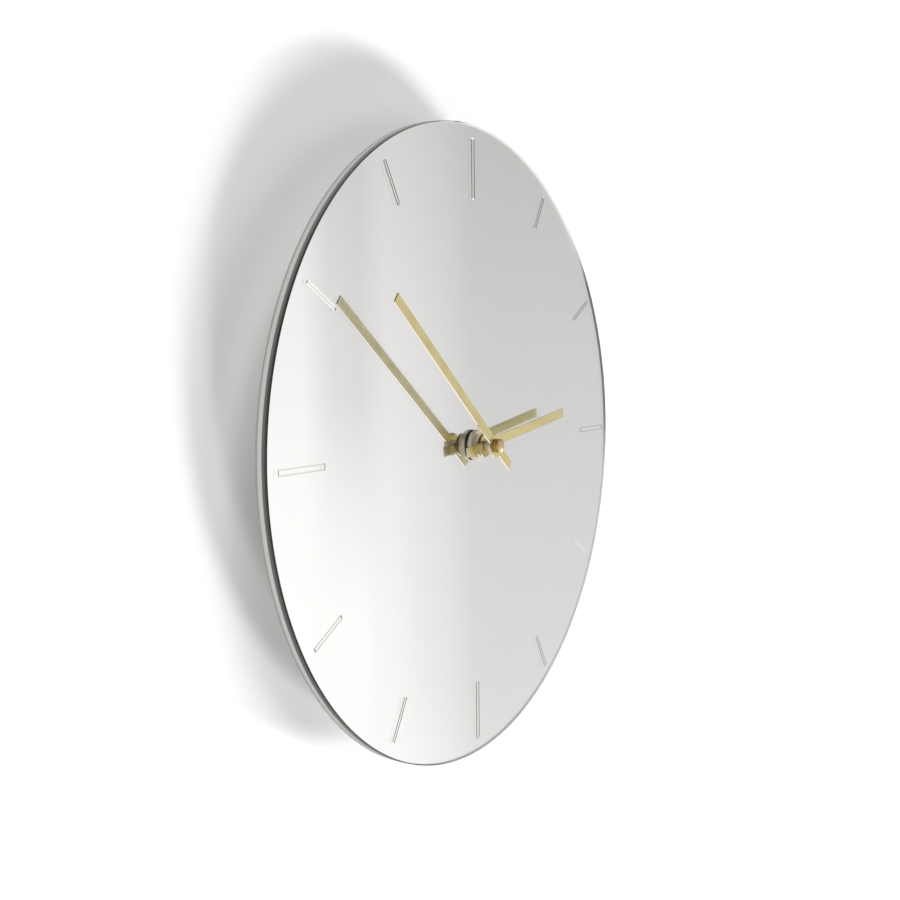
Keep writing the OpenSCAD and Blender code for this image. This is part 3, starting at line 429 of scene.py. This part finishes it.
# %% Moulded finishes
def moulded(name, dark, pale, grit_mm, rough_lo, rough_hi, relief_mm):
    """Moulded surface with flow marks in two tones and a grit of this size and relief."""
    material, tree, place = start_finish(name)
    grit = add(tree, "ShaderNodeTexNoise", {"Vector": place, "Scale": 1 / (grit_mm * MM), "Detail": 3.0})
    # Flow marks of the moulding, some 14 mm across.
    flow = add(tree, "ShaderNodeTexNoise", {"Vector": place, "Scale": 1 / (14 * MM), "Detail": 2.0})
    tone = add(tree, "ShaderNodeValToRGB", {0: flow.outputs[0]},
               stops=[(0.3, linear(dark)), (0.7, linear(pale))])
    rough = add(tree, "ShaderNodeMapRange", {"Value": grit.outputs[0], "From Min": 0.3, "From Max": 0.7,
                                             "To Min": rough_lo, "To Max": rough_hi})
    bump = add(tree, "ShaderNodeBump", {"Height": grit.outputs[0], "Distance": relief_mm * MM,
                                        "Strength": 0.5})
    return end_finish(material, tree, {
        "Base Color": tone.outputs[0], "Roughness": rough.outputs[0], "Normal": bump.outputs[0]})


finishes["black_plastic"] = moulded("black_abs", "#17181a", "#202124", 0.35, 0.42, 0.6, 0.02)
finishes["white_plastic"] = moulded("white_acetal", "#e4e1d6", "#efece3", 0.6, 0.3, 0.42, 0.008)
finishes["black_rubber"] = moulded("black_rubber", "#141414", "#1c1c1c", 0.25, 0.7, 0.85, 0.02)
finishes["black_resin"] = moulded("black_potting_resin", "#0c0c0d", "#141415", 0.8, 0.12, 0.22, 0.01)
finishes["board_laminate"] = moulded("green_board_laminate", "#1f5a34", "#27693e", 0.5, 0.35, 0.45, 0.006)

# %% [markdown]
# ## Copper winding
# The coil is wound with lacquered copper wire. Its turns lie side by side along the coil, so a wave
# along X draws them, drawn 0.25 mm apart because the real wire is too fine to show. The same wave
# paints shade into the grooves between the turns and a highlight on each turn.

# %% Copper wire
material, tree, place = start_finish("lacquered_copper_wire")
xyz = add(tree, "ShaderNodeSeparateXYZ", {0: place})
turns = add(tree, "ShaderNodeMath", {0: xyz.outputs["X"], 1: 2 * math.pi / (0.25 * MM)},
            operation="MULTIPLY")
wire = add(tree, "ShaderNodeMath", {0: turns.outputs[0]}, operation="SINE").outputs[0]
# Painted shade between the turns and a painted highlight on their tops.
tone = add(tree, "ShaderNodeValToRGB", {0: wire},
           stops=[(0.0, linear("#8a4a24")), (1.0, linear("#c9783f"))])
bump = add(tree, "ShaderNodeBump", {"Height": wire, "Distance": 0.08 * MM, "Strength": 0.6})
finishes["copper_wire"] = end_finish(material, tree, {
    "Base Color": tone.outputs[0], "Metallic": 1.0, "Roughness": 0.3, "Normal": bump.outputs[0]})

# %% [markdown]
# ## Cell jacket
# The dry cell has a plain foil jacket: a dark body and a paler collar at the positive end. A ramp along
# the cell gives both, and scuffs from handling change only the gloss.

# %% Cell jacket
cell_lo, cell_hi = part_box("cell_can")
material, tree, place = start_finish("foil_cell_jacket")
xyz = add(tree, "ShaderNodeSeparateXYZ", {0: place})
share = add(tree, "ShaderNodeMapRange", {"Value": xyz.outputs["X"], "From Min": cell_lo.x,
                                         "From Max": cell_hi.x})
tone = add(tree, "ShaderNodeValToRGB", {0: share.outputs[0]}, stops=[
    (0.0, linear("#8f9092")), (0.03, linear("#25282d")), (0.7, linear("#2b2f35")),
    (0.72, linear("#9a9c9e")), (0.96, linear("#a4a6a8")), (1.0, linear("#8f9092"))])
scuff = add(tree, "ShaderNodeTexNoise", {"Vector": place, "Scale": 1 / (3 * MM), "Detail": 5.0})
rough = add(tree, "ShaderNodeMapRange", {"Value": scuff.outputs[0], "From Min": 0.3, "From Max": 0.7,
                                         "To Min": 0.22, "To Max": 0.38})
finishes["cell_jacket"] = end_finish(material, tree, {
    "Base Color": tone.outputs[0], "Metallic": 0.85, "Roughness": rough.outputs[0]})

# %% [markdown]
# ## Giving every CAD node its finish
# The record names a slot for each node, and the finish follows it. Two things differ: each hand has its
# own brushed brass, and the eyelet of the hour hand is turned brass here, though brushed in the record. A
# CAD object keeps its mesh and only its material changes.

# %% Dress the CAD nodes
wearing = {
    "mirror_glass": ["mirror_sheet"],
    "silvering": ["silver_film"],
    "backing_board": ["backing_sheet"],
    "black_rubber": ["gasket"],
    "zinc_plated_steel": ["hanger"],
    "nickel_plate": ["washer", "hex_nut", "threaded_bush", "minute_collet"],
    "brass_minute": ["minute_hand"],
    "brass_hour": ["hour_hand"],
    "polished_brass": ["hour_collet", "hand_nut", "minute_arbor"],
    "black_plastic": ["front_case", "rear_cover", "setting_knob"],
    "white_plastic": ["train_plate", "minute_wheel", "hour_wheel", "setting_stem", "centre_wheel",
                      "third_wheel", "seconds_wheel", "intermediate_wheel", "rotor_pinion",
                      "coil_bobbin"],
    "magnet": ["rotor_magnet"],
    "soft_iron": ["stator", "coil_core"],
    "copper_wire": ["coil_winding"],
    "board_laminate": ["circuit_board"],
    "black_resin": ["chip"],
    "crystal_can": ["quartz_crystal"],
    "cell_jacket": ["cell_can"],
    "contact_metal": ["cell_cap", "positive_contact", "negative_contact"],
}
for finish, names in wearing.items():
    for name in names:
        nodes[name].data.materials.clear()
        nodes[name].data.materials.append(finishes[finish])
print("dressed", sum(len(n) for n in wearing.values()), "of", len(nodes), "nodes")

# %% [markdown]
# ## Turned pieces
# Some pieces of the clock come off a lathe, and a lathe is a profile carried round an axis. The
# function below takes the profile as radius and place along the axis, and works out the whole surface
# as one grid of points. A ripple may push the radius in and out with the angle, which is how a knurled
# grip is made.

# %% Surface of revolution
SHARP_FROM = math.radians(35)


def lathe(name, profile_mm, centre, axis, segments, ripple=None):
    """Grid of points: point (i, j) is centre + (p_i along the axis) + r_ij (cos a_j, sin a_j across it),
    with a_j = 2 pi j / segments and r_ij the profile's radius r_i plus the ripple at (p_i, a_j). The
    profile and the ripple are in mm."""
    r, p = np.array(profile_mm, float).T
    a = 2 * np.pi * np.arange(segments) / segments
    radius = r[:, None] + (ripple(p[:, None], a[None, :]) if ripple else 0 * a[None, :])
    u, v = {"x": ((0, 1, 0), (0, 0, 1)), "y": ((0, 0, 1), (1, 0, 0))}[axis]
    along = {"x": (1, 0, 0), "y": (0, 1, 0)}[axis]
    spokes = np.cos(a)[None, :, None] * np.array(u) + np.sin(a)[None, :, None] * np.array(v)
    points = np.array(centre) / MM + p[:, None, None] * np.array(along) + radius[..., None] * spokes
    i, j = np.meshgrid(np.arange(len(r) - 1), np.arange(segments), indexing="ij")
    k = (j + 1) % segments
    faces = np.stack([i * segments + j, i * segments + k,
                      (i + 1) * segments + k, (i + 1) * segments + j], -1)
    mesh = bpy.data.meshes.new(name)
    mesh.from_pydata((points.reshape(-1, 3) * MM).tolist(), [], faces.reshape(-1, 4).tolist())
    shell = bmesh.new()
    shell.from_mesh(mesh)
    bmesh.ops.remove_doubles(shell, verts=shell.verts, dist=1e-7)
    bmesh.ops.recalc_face_normals(shell, faces=shell.faces)
    shell.to_mesh(mesh)
    shell.free()
    mesh.shade_smooth()
    mesh.set_sharp_from_angle(angle=SHARP_FROM)
    made = bpy.data.objects.new(name, mesh)
    bpy.context.scene.collection.objects.link(made)
    print(name, "has", len(mesh.polygons), "faces")
    return made


print("edges of turned pieces are sharp from", round(math.degrees(SHARP_FROM)), "degrees")

# %% [markdown]
# ## The silver film
# The film lies on the back of the glass, so both share one plane in the CAD model. A ray that is thrown
# back from one would at once meet the other, and the mirror would go dark. The film is therefore turned
# again as a finer ring that starts 0.02 mm behind the glass, whose own back already carries the mirror.

# %% Silver film
film_lo, film_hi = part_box("silver_film")
# The hole lets the bush through.
hole_mm = 4.3
gap_mm = 0.02
soft_mm = 0.02
front_mm = film_lo.y / MM + gap_mm
back_mm = film_hi.y / MM
rim_mm = FACE_R / MM
film_profile = [(hole_mm, front_mm), (rim_mm - soft_mm, front_mm), (rim_mm, front_mm + soft_mm),
                (rim_mm, back_mm), (hole_mm, back_mm), (hole_mm, front_mm)]
film = lathe("silver_film_coat", film_profile, (0, 0, 0), "y", segments=720)
film.data.materials.append(finishes["silvering"])
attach(film, "clock")
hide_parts("silver_film")

# %% [markdown]
# ## The knurled hand nut
# A small domed brass nut holds the minute hand. Fingers tighten it, so its side is knurled with upright
# flutes. The flutes fade out towards the dome and the foot, as a knurling wheel leaves them.

# %% Hand nut
nut_lo, nut_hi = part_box("hand_nut")
nut_mm = nut_hi.x / MM
foot_mm = nut_hi.y / MM
tip_mm = nut_lo.y / MM
dome_mm = 1.0
edge_mm = 0.12
bore_mm = 1.3
FLUTES = 40
flute_mm = 0.11
shoulder_mm = tip_mm + dome_mm
ball_mm = (nut_mm ** 2 + dome_mm ** 2) / (2 * dome_mm)
swing = np.linspace(0, math.asin((nut_mm - edge_mm) / ball_mm), 16)
dome = [(ball_mm * math.sin(s), tip_mm + ball_mm * (1 - math.cos(s))) for s in swing]
flute_top_mm = shoulder_mm + 0.4
flute_foot_mm = foot_mm - 0.35
side = [(nut_mm - 0.03, shoulder_mm + 0.02), (nut_mm, shoulder_mm + edge_mm), (nut_mm, flute_top_mm),
        (nut_mm, flute_foot_mm), (nut_mm, foot_mm - edge_mm), (nut_mm - 0.1, foot_mm), (bore_mm, foot_mm)]


def knurl(p, a):
    """Flutes: with h = (1 - cos(FLUTES a)) / 2 the radius shrinks by flute_mm h ** 2 from flute_top_mm to
    flute_foot_mm. The other rows of the profile stay round."""
    on_side = (p >= flute_top_mm) & (p <= flute_foot_mm)
    return on_side * -flute_mm * (0.5 - 0.5 * np.cos(FLUTES * a)) ** 2


hand_nut = lathe("knurled_hand_nut", dome + side, (0, 0, 0), "y", segments=320, ripple=knurl)
hand_nut.data.materials.append(finishes["polished_brass"])
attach(hand_nut, "minute")
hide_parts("hand_nut")

# %% [markdown]
# ## The dry cell
# The movement runs on one dry cell that lies open at the back, so it shows when the clock is taken off
# the wall. Its jacket is rolled over at both ends and leaves a shallow step before the plus end and a
# pressed ring in the minus end.

# %% Dry cell
can_mm = (cell_hi.z - cell_lo.z) / 2 / MM
half_mm = (cell_hi.x - cell_lo.x) / MM / 2
middle = (cell_lo + cell_hi) / 2
roll_mm = 0.5
step_mm = 0.35
ring_mm = 0.25
roll = [(can_mm - roll_mm + roll_mm * math.sin(t), half_mm - roll_mm + roll_mm * math.cos(t))
        for t in np.linspace(0, math.pi / 2, 7)]
plus_end = [(0, half_mm - step_mm), (3.4, half_mm - step_mm), (5.6, half_mm - step_mm),
            (5.9, half_mm - 0.05), (6.2, half_mm)]
minus_end = [(6.2, -half_mm), (5.6, -half_mm), (5.4, ring_mm - half_mm), (4.6, ring_mm - half_mm),
             (4.4, -half_mm), (0, -half_mm)]
rolled_back = [(r, -p) for r, p in reversed(roll)]
cell = lathe("dry_cell_can", plus_end + roll + rolled_back + minus_end, middle, "x", segments=128)
cell.data.materials.append(finishes["cell_jacket"])
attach(cell, "cell")
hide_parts("cell_can")

# %% [markdown]
# ## Wall and floor
# The clock hangs on a plain white wall. From behind, the wall would hide the back of the clock, so its
# back face is see-through and it shows only to the camera, directly or through glass. The floor is far
# below and is kept out of the mirror in the same way.

# %% Wall and floor
def backdrop(name, corners, pale):
    """A painted sheet with these corners that has a front only and casts no shadow."""
    mesh = bpy.data.meshes.new(name)
    mesh.from_pydata(corners, [], [(0, 1, 2, 3)])
    sheet = bpy.data.objects.new(name, mesh)
    bpy.context.scene.collection.objects.link(sheet)
    material, tree, place = start_finish(name + "_paint")
    # Roller texture of about 2 mm.
    roller = add(tree, "ShaderNodeTexNoise", {"Vector": place, "Scale": 1 / (2 * MM), "Detail": 3.0})
    bump = add(tree, "ShaderNodeBump", {"Height": roller.outputs[0], "Distance": 0.03 * MM,
                                        "Strength": 0.2})
    coat = add(tree, "ShaderNodeBsdfDiffuse", {"Color": linear(pale), "Normal": bump.outputs[0]})
    gone = add(tree, "ShaderNodeBsdfTransparent")
    behind = add(tree, "ShaderNodeNewGeometry").outputs["Backfacing"]
    one_sided = add(tree, "ShaderNodeMixShader", {0: behind, 1: coat.outputs[0], 2: gone.outputs[0]})
    add(tree, "ShaderNodeOutputMaterial", {"Surface": one_sided.outputs[0]})
    mesh.materials.append(material)
    for ray in ("diffuse", "glossy", "transmission", "shadow"):
        setattr(sheet, "visible_" + ray, False)
    return sheet


WALL_Y = 0.2 * MM
FLOOR_Z = -1.2
WIDE = 4
TALL = 3
wall = backdrop("wall", [(-WIDE, WALL_Y, -TALL), (WIDE, WALL_Y, -TALL), (WIDE, WALL_Y, TALL),
                         (-WIDE, WALL_Y, TALL)], "#f2f2f2")
wall.visible_transmission = True
floor = backdrop("floor", [(-WIDE, -WIDE, FLOOR_Z), (WIDE, -WIDE, FLOOR_Z), (WIDE, WIDE, FLOOR_Z),
                           (-WIDE, WIDE, FLOOR_Z)], "#ecebe8")
for sheet in (wall, floor):
    print(sheet.name, "faces", tuple(round(c) for c in sheet.data.polygons[0].normal))

# %% [markdown]
# ## The room in the mirror
# A mirror has no colour of its own: it shows the room. A room could be modelled, but a plain face needs
# only its lights and darks. So the studio is a surrounding light whose brightness changes with direction.
# Ramps give it, over the degrees to the right of straight ahead as seen from the clock, and over the
# rise, which is -1 straight down and 1 straight up.

# %% Directions in the room
scene = bpy.context.scene
world = bpy.data.worlds.new("studio")
scene.world = world
world.use_nodes = True
tree = world.node_tree
tree.nodes.clear()
aim = add(tree, "ShaderNodeTexCoord").outputs["Generated"]
xyz = add(tree, "ShaderNodeSeparateXYZ", {0: aim})
rise = xyz.outputs["Z"]
forward = add(tree, "ShaderNodeMath", {0: xyz.outputs["Y"], 1: -1.0}, operation="MULTIPLY").outputs[0]
turn = add(tree, "ShaderNodeMath", {0: xyz.outputs["X"], 1: forward}, operation="ARCTAN2").outputs[0]
share = add(tree, "ShaderNodeMapRange", {"Value": turn, "From Min": -math.pi,
                                         "From Max": math.pi}).outputs[0]


def around(stops):
    """Stops of a ramp over the full circle from (degrees, brightness) pairs: -180 degrees is at 0, straight
    ahead at 0.5 and 180 degrees at 1."""
    return [(0.5 + degrees / 360, (value, value, value, 1.0)) for degrees, value in stops]


print("straight ahead is at", around([(0, 1)])[0][0], "on the ramps")

# %% [markdown]
# The room is dark towards the camera's corner, which draws the engraved lines and the sides of the nuts.
# It is pale in bands to the right, where the mirror looks from the camera's place. It is bright below and
# grey above.

# %% Bands of the room
bands = add(tree, "ShaderNodeValToRGB", {0: share}, stops=around([
    (-180, 0.5), (-125, 0.6), (-100, 1.0), (-70, 1.0), (-58, 0.7), (-42, 0.34), (-35, 0.02), (-14, 0.02),
    (8, 0.5), (20, 0.9), (40, 1.0), (51, 1.0), (52.4, 0.77), (53.4, 0.78), (54.5, 0.88), (57, 0.82),
    (59.2, 0.69), (66, 0.69), (78, 0.7), (85, 0.5), (120, 0.5), (180, 0.5)]))
height = add(tree, "ShaderNodeMapRange", {"Value": rise, "From Min": -1.0, "From Max": 1.0}).outputs[0]
levels = [(0.0, 0.86), (0.07, 0.84), (0.1, 1.06), (0.2, 1.0), (0.3, 1.0), (0.36, 0.9), (0.42, 0.85),
          (0.5, 0.78), (0.6, 0.66), (0.75, 0.6), (1.0, 0.6)]
level = add(tree, "ShaderNodeValToRGB", {0: height}, stops=[(h, (v, v, v, 1.0)) for h, v in levels])
room = add(tree, "ShaderNodeMix", {0: 1.0, 6: bands.outputs[0], 7: level.outputs[0]},
           data_type="RGBA", blend_type="MULTIPLY")
print("room with", len(bands.color_ramp.elements), "stops round and", len(levels), "stops up")

# %% [markdown]
# High up, the room is pale a little right of straight ahead and darker on both sides of that. From the
# camera's place only the walls of the grooves and the metal show that part. A pale sheet lies low in
# front, left of the bands, and whitens the lower left of the face.

# %% Sky and pale sheet
SKY_FROM = 0.55
SKY_FULL = 0.68
SHEET_TOP = -0.04
SHEET_FULL = -0.23
SHEET = (0.86, 0.86, 0.86, 1.0)
sky = add(tree, "ShaderNodeValToRGB", {0: share}, stops=around([
    (-100, 0.5), (-40, 0.04), (0, 0.06), (8, 0.42), (24, 0.42), (40, 0.14), (60, 0.14), (100, 0.5)]))
high = add(tree, "ShaderNodeMapRange", {"Value": rise, "From Min": SKY_FROM, "From Max": SKY_FULL})
room = add(tree, "ShaderNodeMix", {0: high.outputs[0], 6: room.outputs[2], 7: sky.outputs[0]},
           data_type="RGBA")
near = add(tree, "ShaderNodeValToRGB", {0: share}, stops=around([(40, 0), (46, 1), (54, 1), (55.4, 0)]))
low = add(tree, "ShaderNodeMapRange", {"Value": rise, "From Min": SHEET_TOP, "From Max": SHEET_FULL})
on_sheet = add(tree, "ShaderNodeMath", {0: near.outputs[0], 1: low.outputs[0]}, operation="MULTIPLY")
room = add(tree, "ShaderNodeMix", {0: on_sheet.outputs[0], 6: room.outputs[2], 7: SHEET},
           data_type="RGBA", blend_type="LIGHTEN")
print("sky from", round(math.degrees(math.asin(SKY_FROM))), "degrees up")

# %% [markdown]
# A dark corner would make the whole mirror black for a viewer in front or on the right. So a grey screen
# stands straight ahead and the floor is pale. Light that comes back out of the glass was thrown back by
# the film, and it doesn't show the dark corner at all: only the engraved lines and the metal need it.

# %% Grey screen and pale floor
SCREEN = (0.55, 0.55, 0.55, 1.0)
SCREEN_TOP = 0.5
SCREEN_END = 0.6
FLOOR_FROM = -0.88
FLOOR_FULL = -0.93
ahead = add(tree, "ShaderNodeValToRGB", {0: share}, stops=around([(-19, 0), (-10, 1), (10, 1), (16, 0)]))
tall = add(tree, "ShaderNodeMath", {0: rise}, operation="ABSOLUTE")
tall = add(tree, "ShaderNodeMapRange", {"Value": tall.outputs[0], "From Min": SCREEN_TOP,
                                        "From Max": SCREEN_END, "To Min": 1.0, "To Max": 0.0})
screen = add(tree, "ShaderNodeMath", {0: ahead.outputs[0], 1: tall.outputs[0]}, operation="MULTIPLY")
under = add(tree, "ShaderNodeMapRange", {"Value": rise, "From Min": FLOOR_FROM, "From Max": FLOOR_FULL})
pale = add(tree, "ShaderNodeMath", {0: screen.outputs[0], 1: under.outputs[0]}, operation="MAXIMUM")
mirrored = add(tree, "ShaderNodeLightPath").outputs["Is Transmission Ray"]
leftward = add(tree, "ShaderNodeValToRGB", {0: share}, stops=around([(10, 1), (16, 0)]))
lifted = add(tree, "ShaderNodeMath", {0: mirrored, 1: leftward.outputs[0]}, operation="MULTIPLY")
pale = add(tree, "ShaderNodeMath", {0: pale.outputs[0], 1: lifted.outputs[0]}, operation="MAXIMUM")
room = add(tree, "ShaderNodeMix", {0: pale.outputs[0], 6: room.outputs[2], 7: SCREEN},
           data_type="RGBA", blend_type="LIGHTEN")
print("screen and floor at", SCREEN[0])

# %% [markdown]
# A small bright window far to the right and below gives the domed hand nut its highlight. It is a round
# patch: the dot product of two directions is the cosine of the angle between them, so the patch fades out
# between two cosines.

# %% Window
WINDOW_TURN = 76
WINDOW_RISE = -24
WINDOW_OUTER = 12
WINDOW_INNER = 8
WINDOW = (3.0, 3.0, 3.0, 1.0)


def towards(azimuth, elevation):
    """Unit vector from the clock into the room: with azimuth a to the right and elevation e up, in degrees,
    it is (sin a cos e, -cos a cos e, sin e)."""
    a, e = math.radians(azimuth), math.radians(elevation)
    return Vector((math.sin(a) * math.cos(e), -math.cos(a) * math.cos(e), math.sin(e)))


glow = add(tree, "ShaderNodeVectorMath", {0: aim, 1: towards(WINDOW_TURN, WINDOW_RISE)},
           operation="DOT_PRODUCT").outputs["Value"]
window = add(tree, "ShaderNodeMapRange", {"Value": glow, "From Min": math.cos(math.radians(WINDOW_OUTER)),
                                          "From Max": math.cos(math.radians(WINDOW_INNER))})
room = add(tree, "ShaderNodeMix", {0: window.outputs[0], 6: room.outputs[2], 7: WINDOW},
           data_type="RGBA", blend_type="LIGHTEN")
print("window towards", [round(c, 2) for c in towards(WINDOW_TURN, WINDOW_RISE)])

# %% [markdown]
# Matt surfaces get a plainer room: bright at the left, where the sawn edge looks, fair behind and dim in
# front, so that the lamps draw the shadow on the wall. The camera itself sees a plain near white beyond
# the wall and the floor.

# %% Light for matt surfaces
ROOM_STRENGTH = 1.35
plainer = add(tree, "ShaderNodeValToRGB", {0: share}, stops=around([
    (-180, 0.5), (-130, 0.7), (-112, 1.0), (-92, 1.0), (-84, 0.03), (84, 0.03), (110, 0.5), (180, 0.5)]))
matt = add(tree, "ShaderNodeLightPath").outputs["Is Diffuse Ray"]
room = add(tree, "ShaderNodeMix", {0: matt, 6: room.outputs[2], 7: plainer.outputs[0]}, data_type="RGBA")
lit = add(tree, "ShaderNodeBackground", {"Color": room.outputs[2], "Strength": ROOM_STRENGTH})
plain = add(tree, "ShaderNodeBackground", {"Color": linear("#f4f4f4"), "Strength": 1.0})
to_camera = add(tree, "ShaderNodeLightPath").outputs["Is Camera Ray"]
seen = add(tree, "ShaderNodeMixShader", {0: to_camera, 1: lit.outputs[0], 2: plain.outputs[0]})
add(tree, "ShaderNodeOutputWorld", {"Surface": seen.outputs[0]})
print("studio with", len(tree.nodes), "nodes")

# %% [markdown]
# ## Soft lamps
# The shadow on the wall tells where the light comes from. It is widest up and to the left of the disc,
# so the key light stands in front, low and a little to the right, with a second one lower still. It ends
# early at the top right, where a side light from the far right reaches the wall. Inside it is an even
# pale grey: a broad light from above, a weak one in front and a fill light that casts no shadow see to
# that. They are sun lamps and light only the wall and the floor: the clock itself shows the studio.

# %% Lamps
# Name, degrees to the right, degrees up, energy, width in degrees.
LAMPS = [("key", 38, -49, 1.8, 15), ("low", 8, -67, 1.2, 9), ("side", 72, -23, 4.2, 10),
         ("front", 30, -5, 0.57, 35), ("top", -29, 63, 2.8, 43), ("fill", 0, 0, 0.4, 10)]
lit_by_lamps = bpy.data.collections.new("lit_by_lamps")
lit_by_lamps.objects.link(wall)
lit_by_lamps.objects.link(floor)
for name, azimuth, elevation, energy, width in LAMPS:
    lamp = bpy.data.lights.new(name, "SUN")
    lamp.energy = energy
    lamp.angle = math.radians(width)
    lamp.use_shadow = name != "fill"
    light = bpy.data.objects.new(name, lamp)
    scene.collection.objects.link(light)
    light.light_linking.receiver_collection = lit_by_lamps
    light.rotation_mode = "QUATERNION"
    light.rotation_quaternion = towards(azimuth, elevation).to_track_quat("Z", "Y")
print("lamps:", ", ".join(name for name, *rest in LAMPS))

# %% [markdown]
# ## The camera
# The camera stands close to the wall on the left and a little above the middle of the clock. It could be
# aimed by a constraint, but a place and three angles say all: the direction that its back points to, by
# degrees to the right and degrees up, and a slight roll.

# %% Camera
def camera_matrix(place, azimuth, elevation, roll):
    """Columns are the camera's right, up and back. Back is towards(azimuth, elevation). Right is level and
    up is square to both, then they turn about back by the roll t: right is cos t right + sin t up, and
    up is cos t up - sin t right."""
    t = math.radians(roll)
    back = np.array(towards(azimuth, elevation))
    right = np.cross(-back, (0, 0, 1))
    right /= np.linalg.norm(right)
    up = np.cross(right, -back)
    turned = math.cos(t) * right + math.sin(t) * up, math.cos(t) * up - math.sin(t) * right
    matrix = np.eye(4)
    matrix[:3, 0], matrix[:3, 1], matrix[:3, 2], matrix[:3, 3] = *turned, back, place
    return Matrix(matrix.tolist())


CAMERA_PLACE = (-0.46927, -0.30355, 0.04430)
CAMERA_TURN = -57.921
CAMERA_RISE = 4.877
CAMERA_ROLL = -0.627
lens = bpy.data.cameras.new("camera")
lens.sensor_width = 36
lens.lens = 45.92
lens.clip_start = 0.01
camera = bpy.data.objects.new("camera", lens)
scene.collection.objects.link(camera)
camera.matrix_world = camera_matrix(CAMERA_PLACE, CAMERA_TURN, CAMERA_RISE, CAMERA_ROLL)
scene.camera = camera
scene.view_settings.view_transform = "Standard"
print("camera at", tuple(round(c, 3) for c in camera.location))
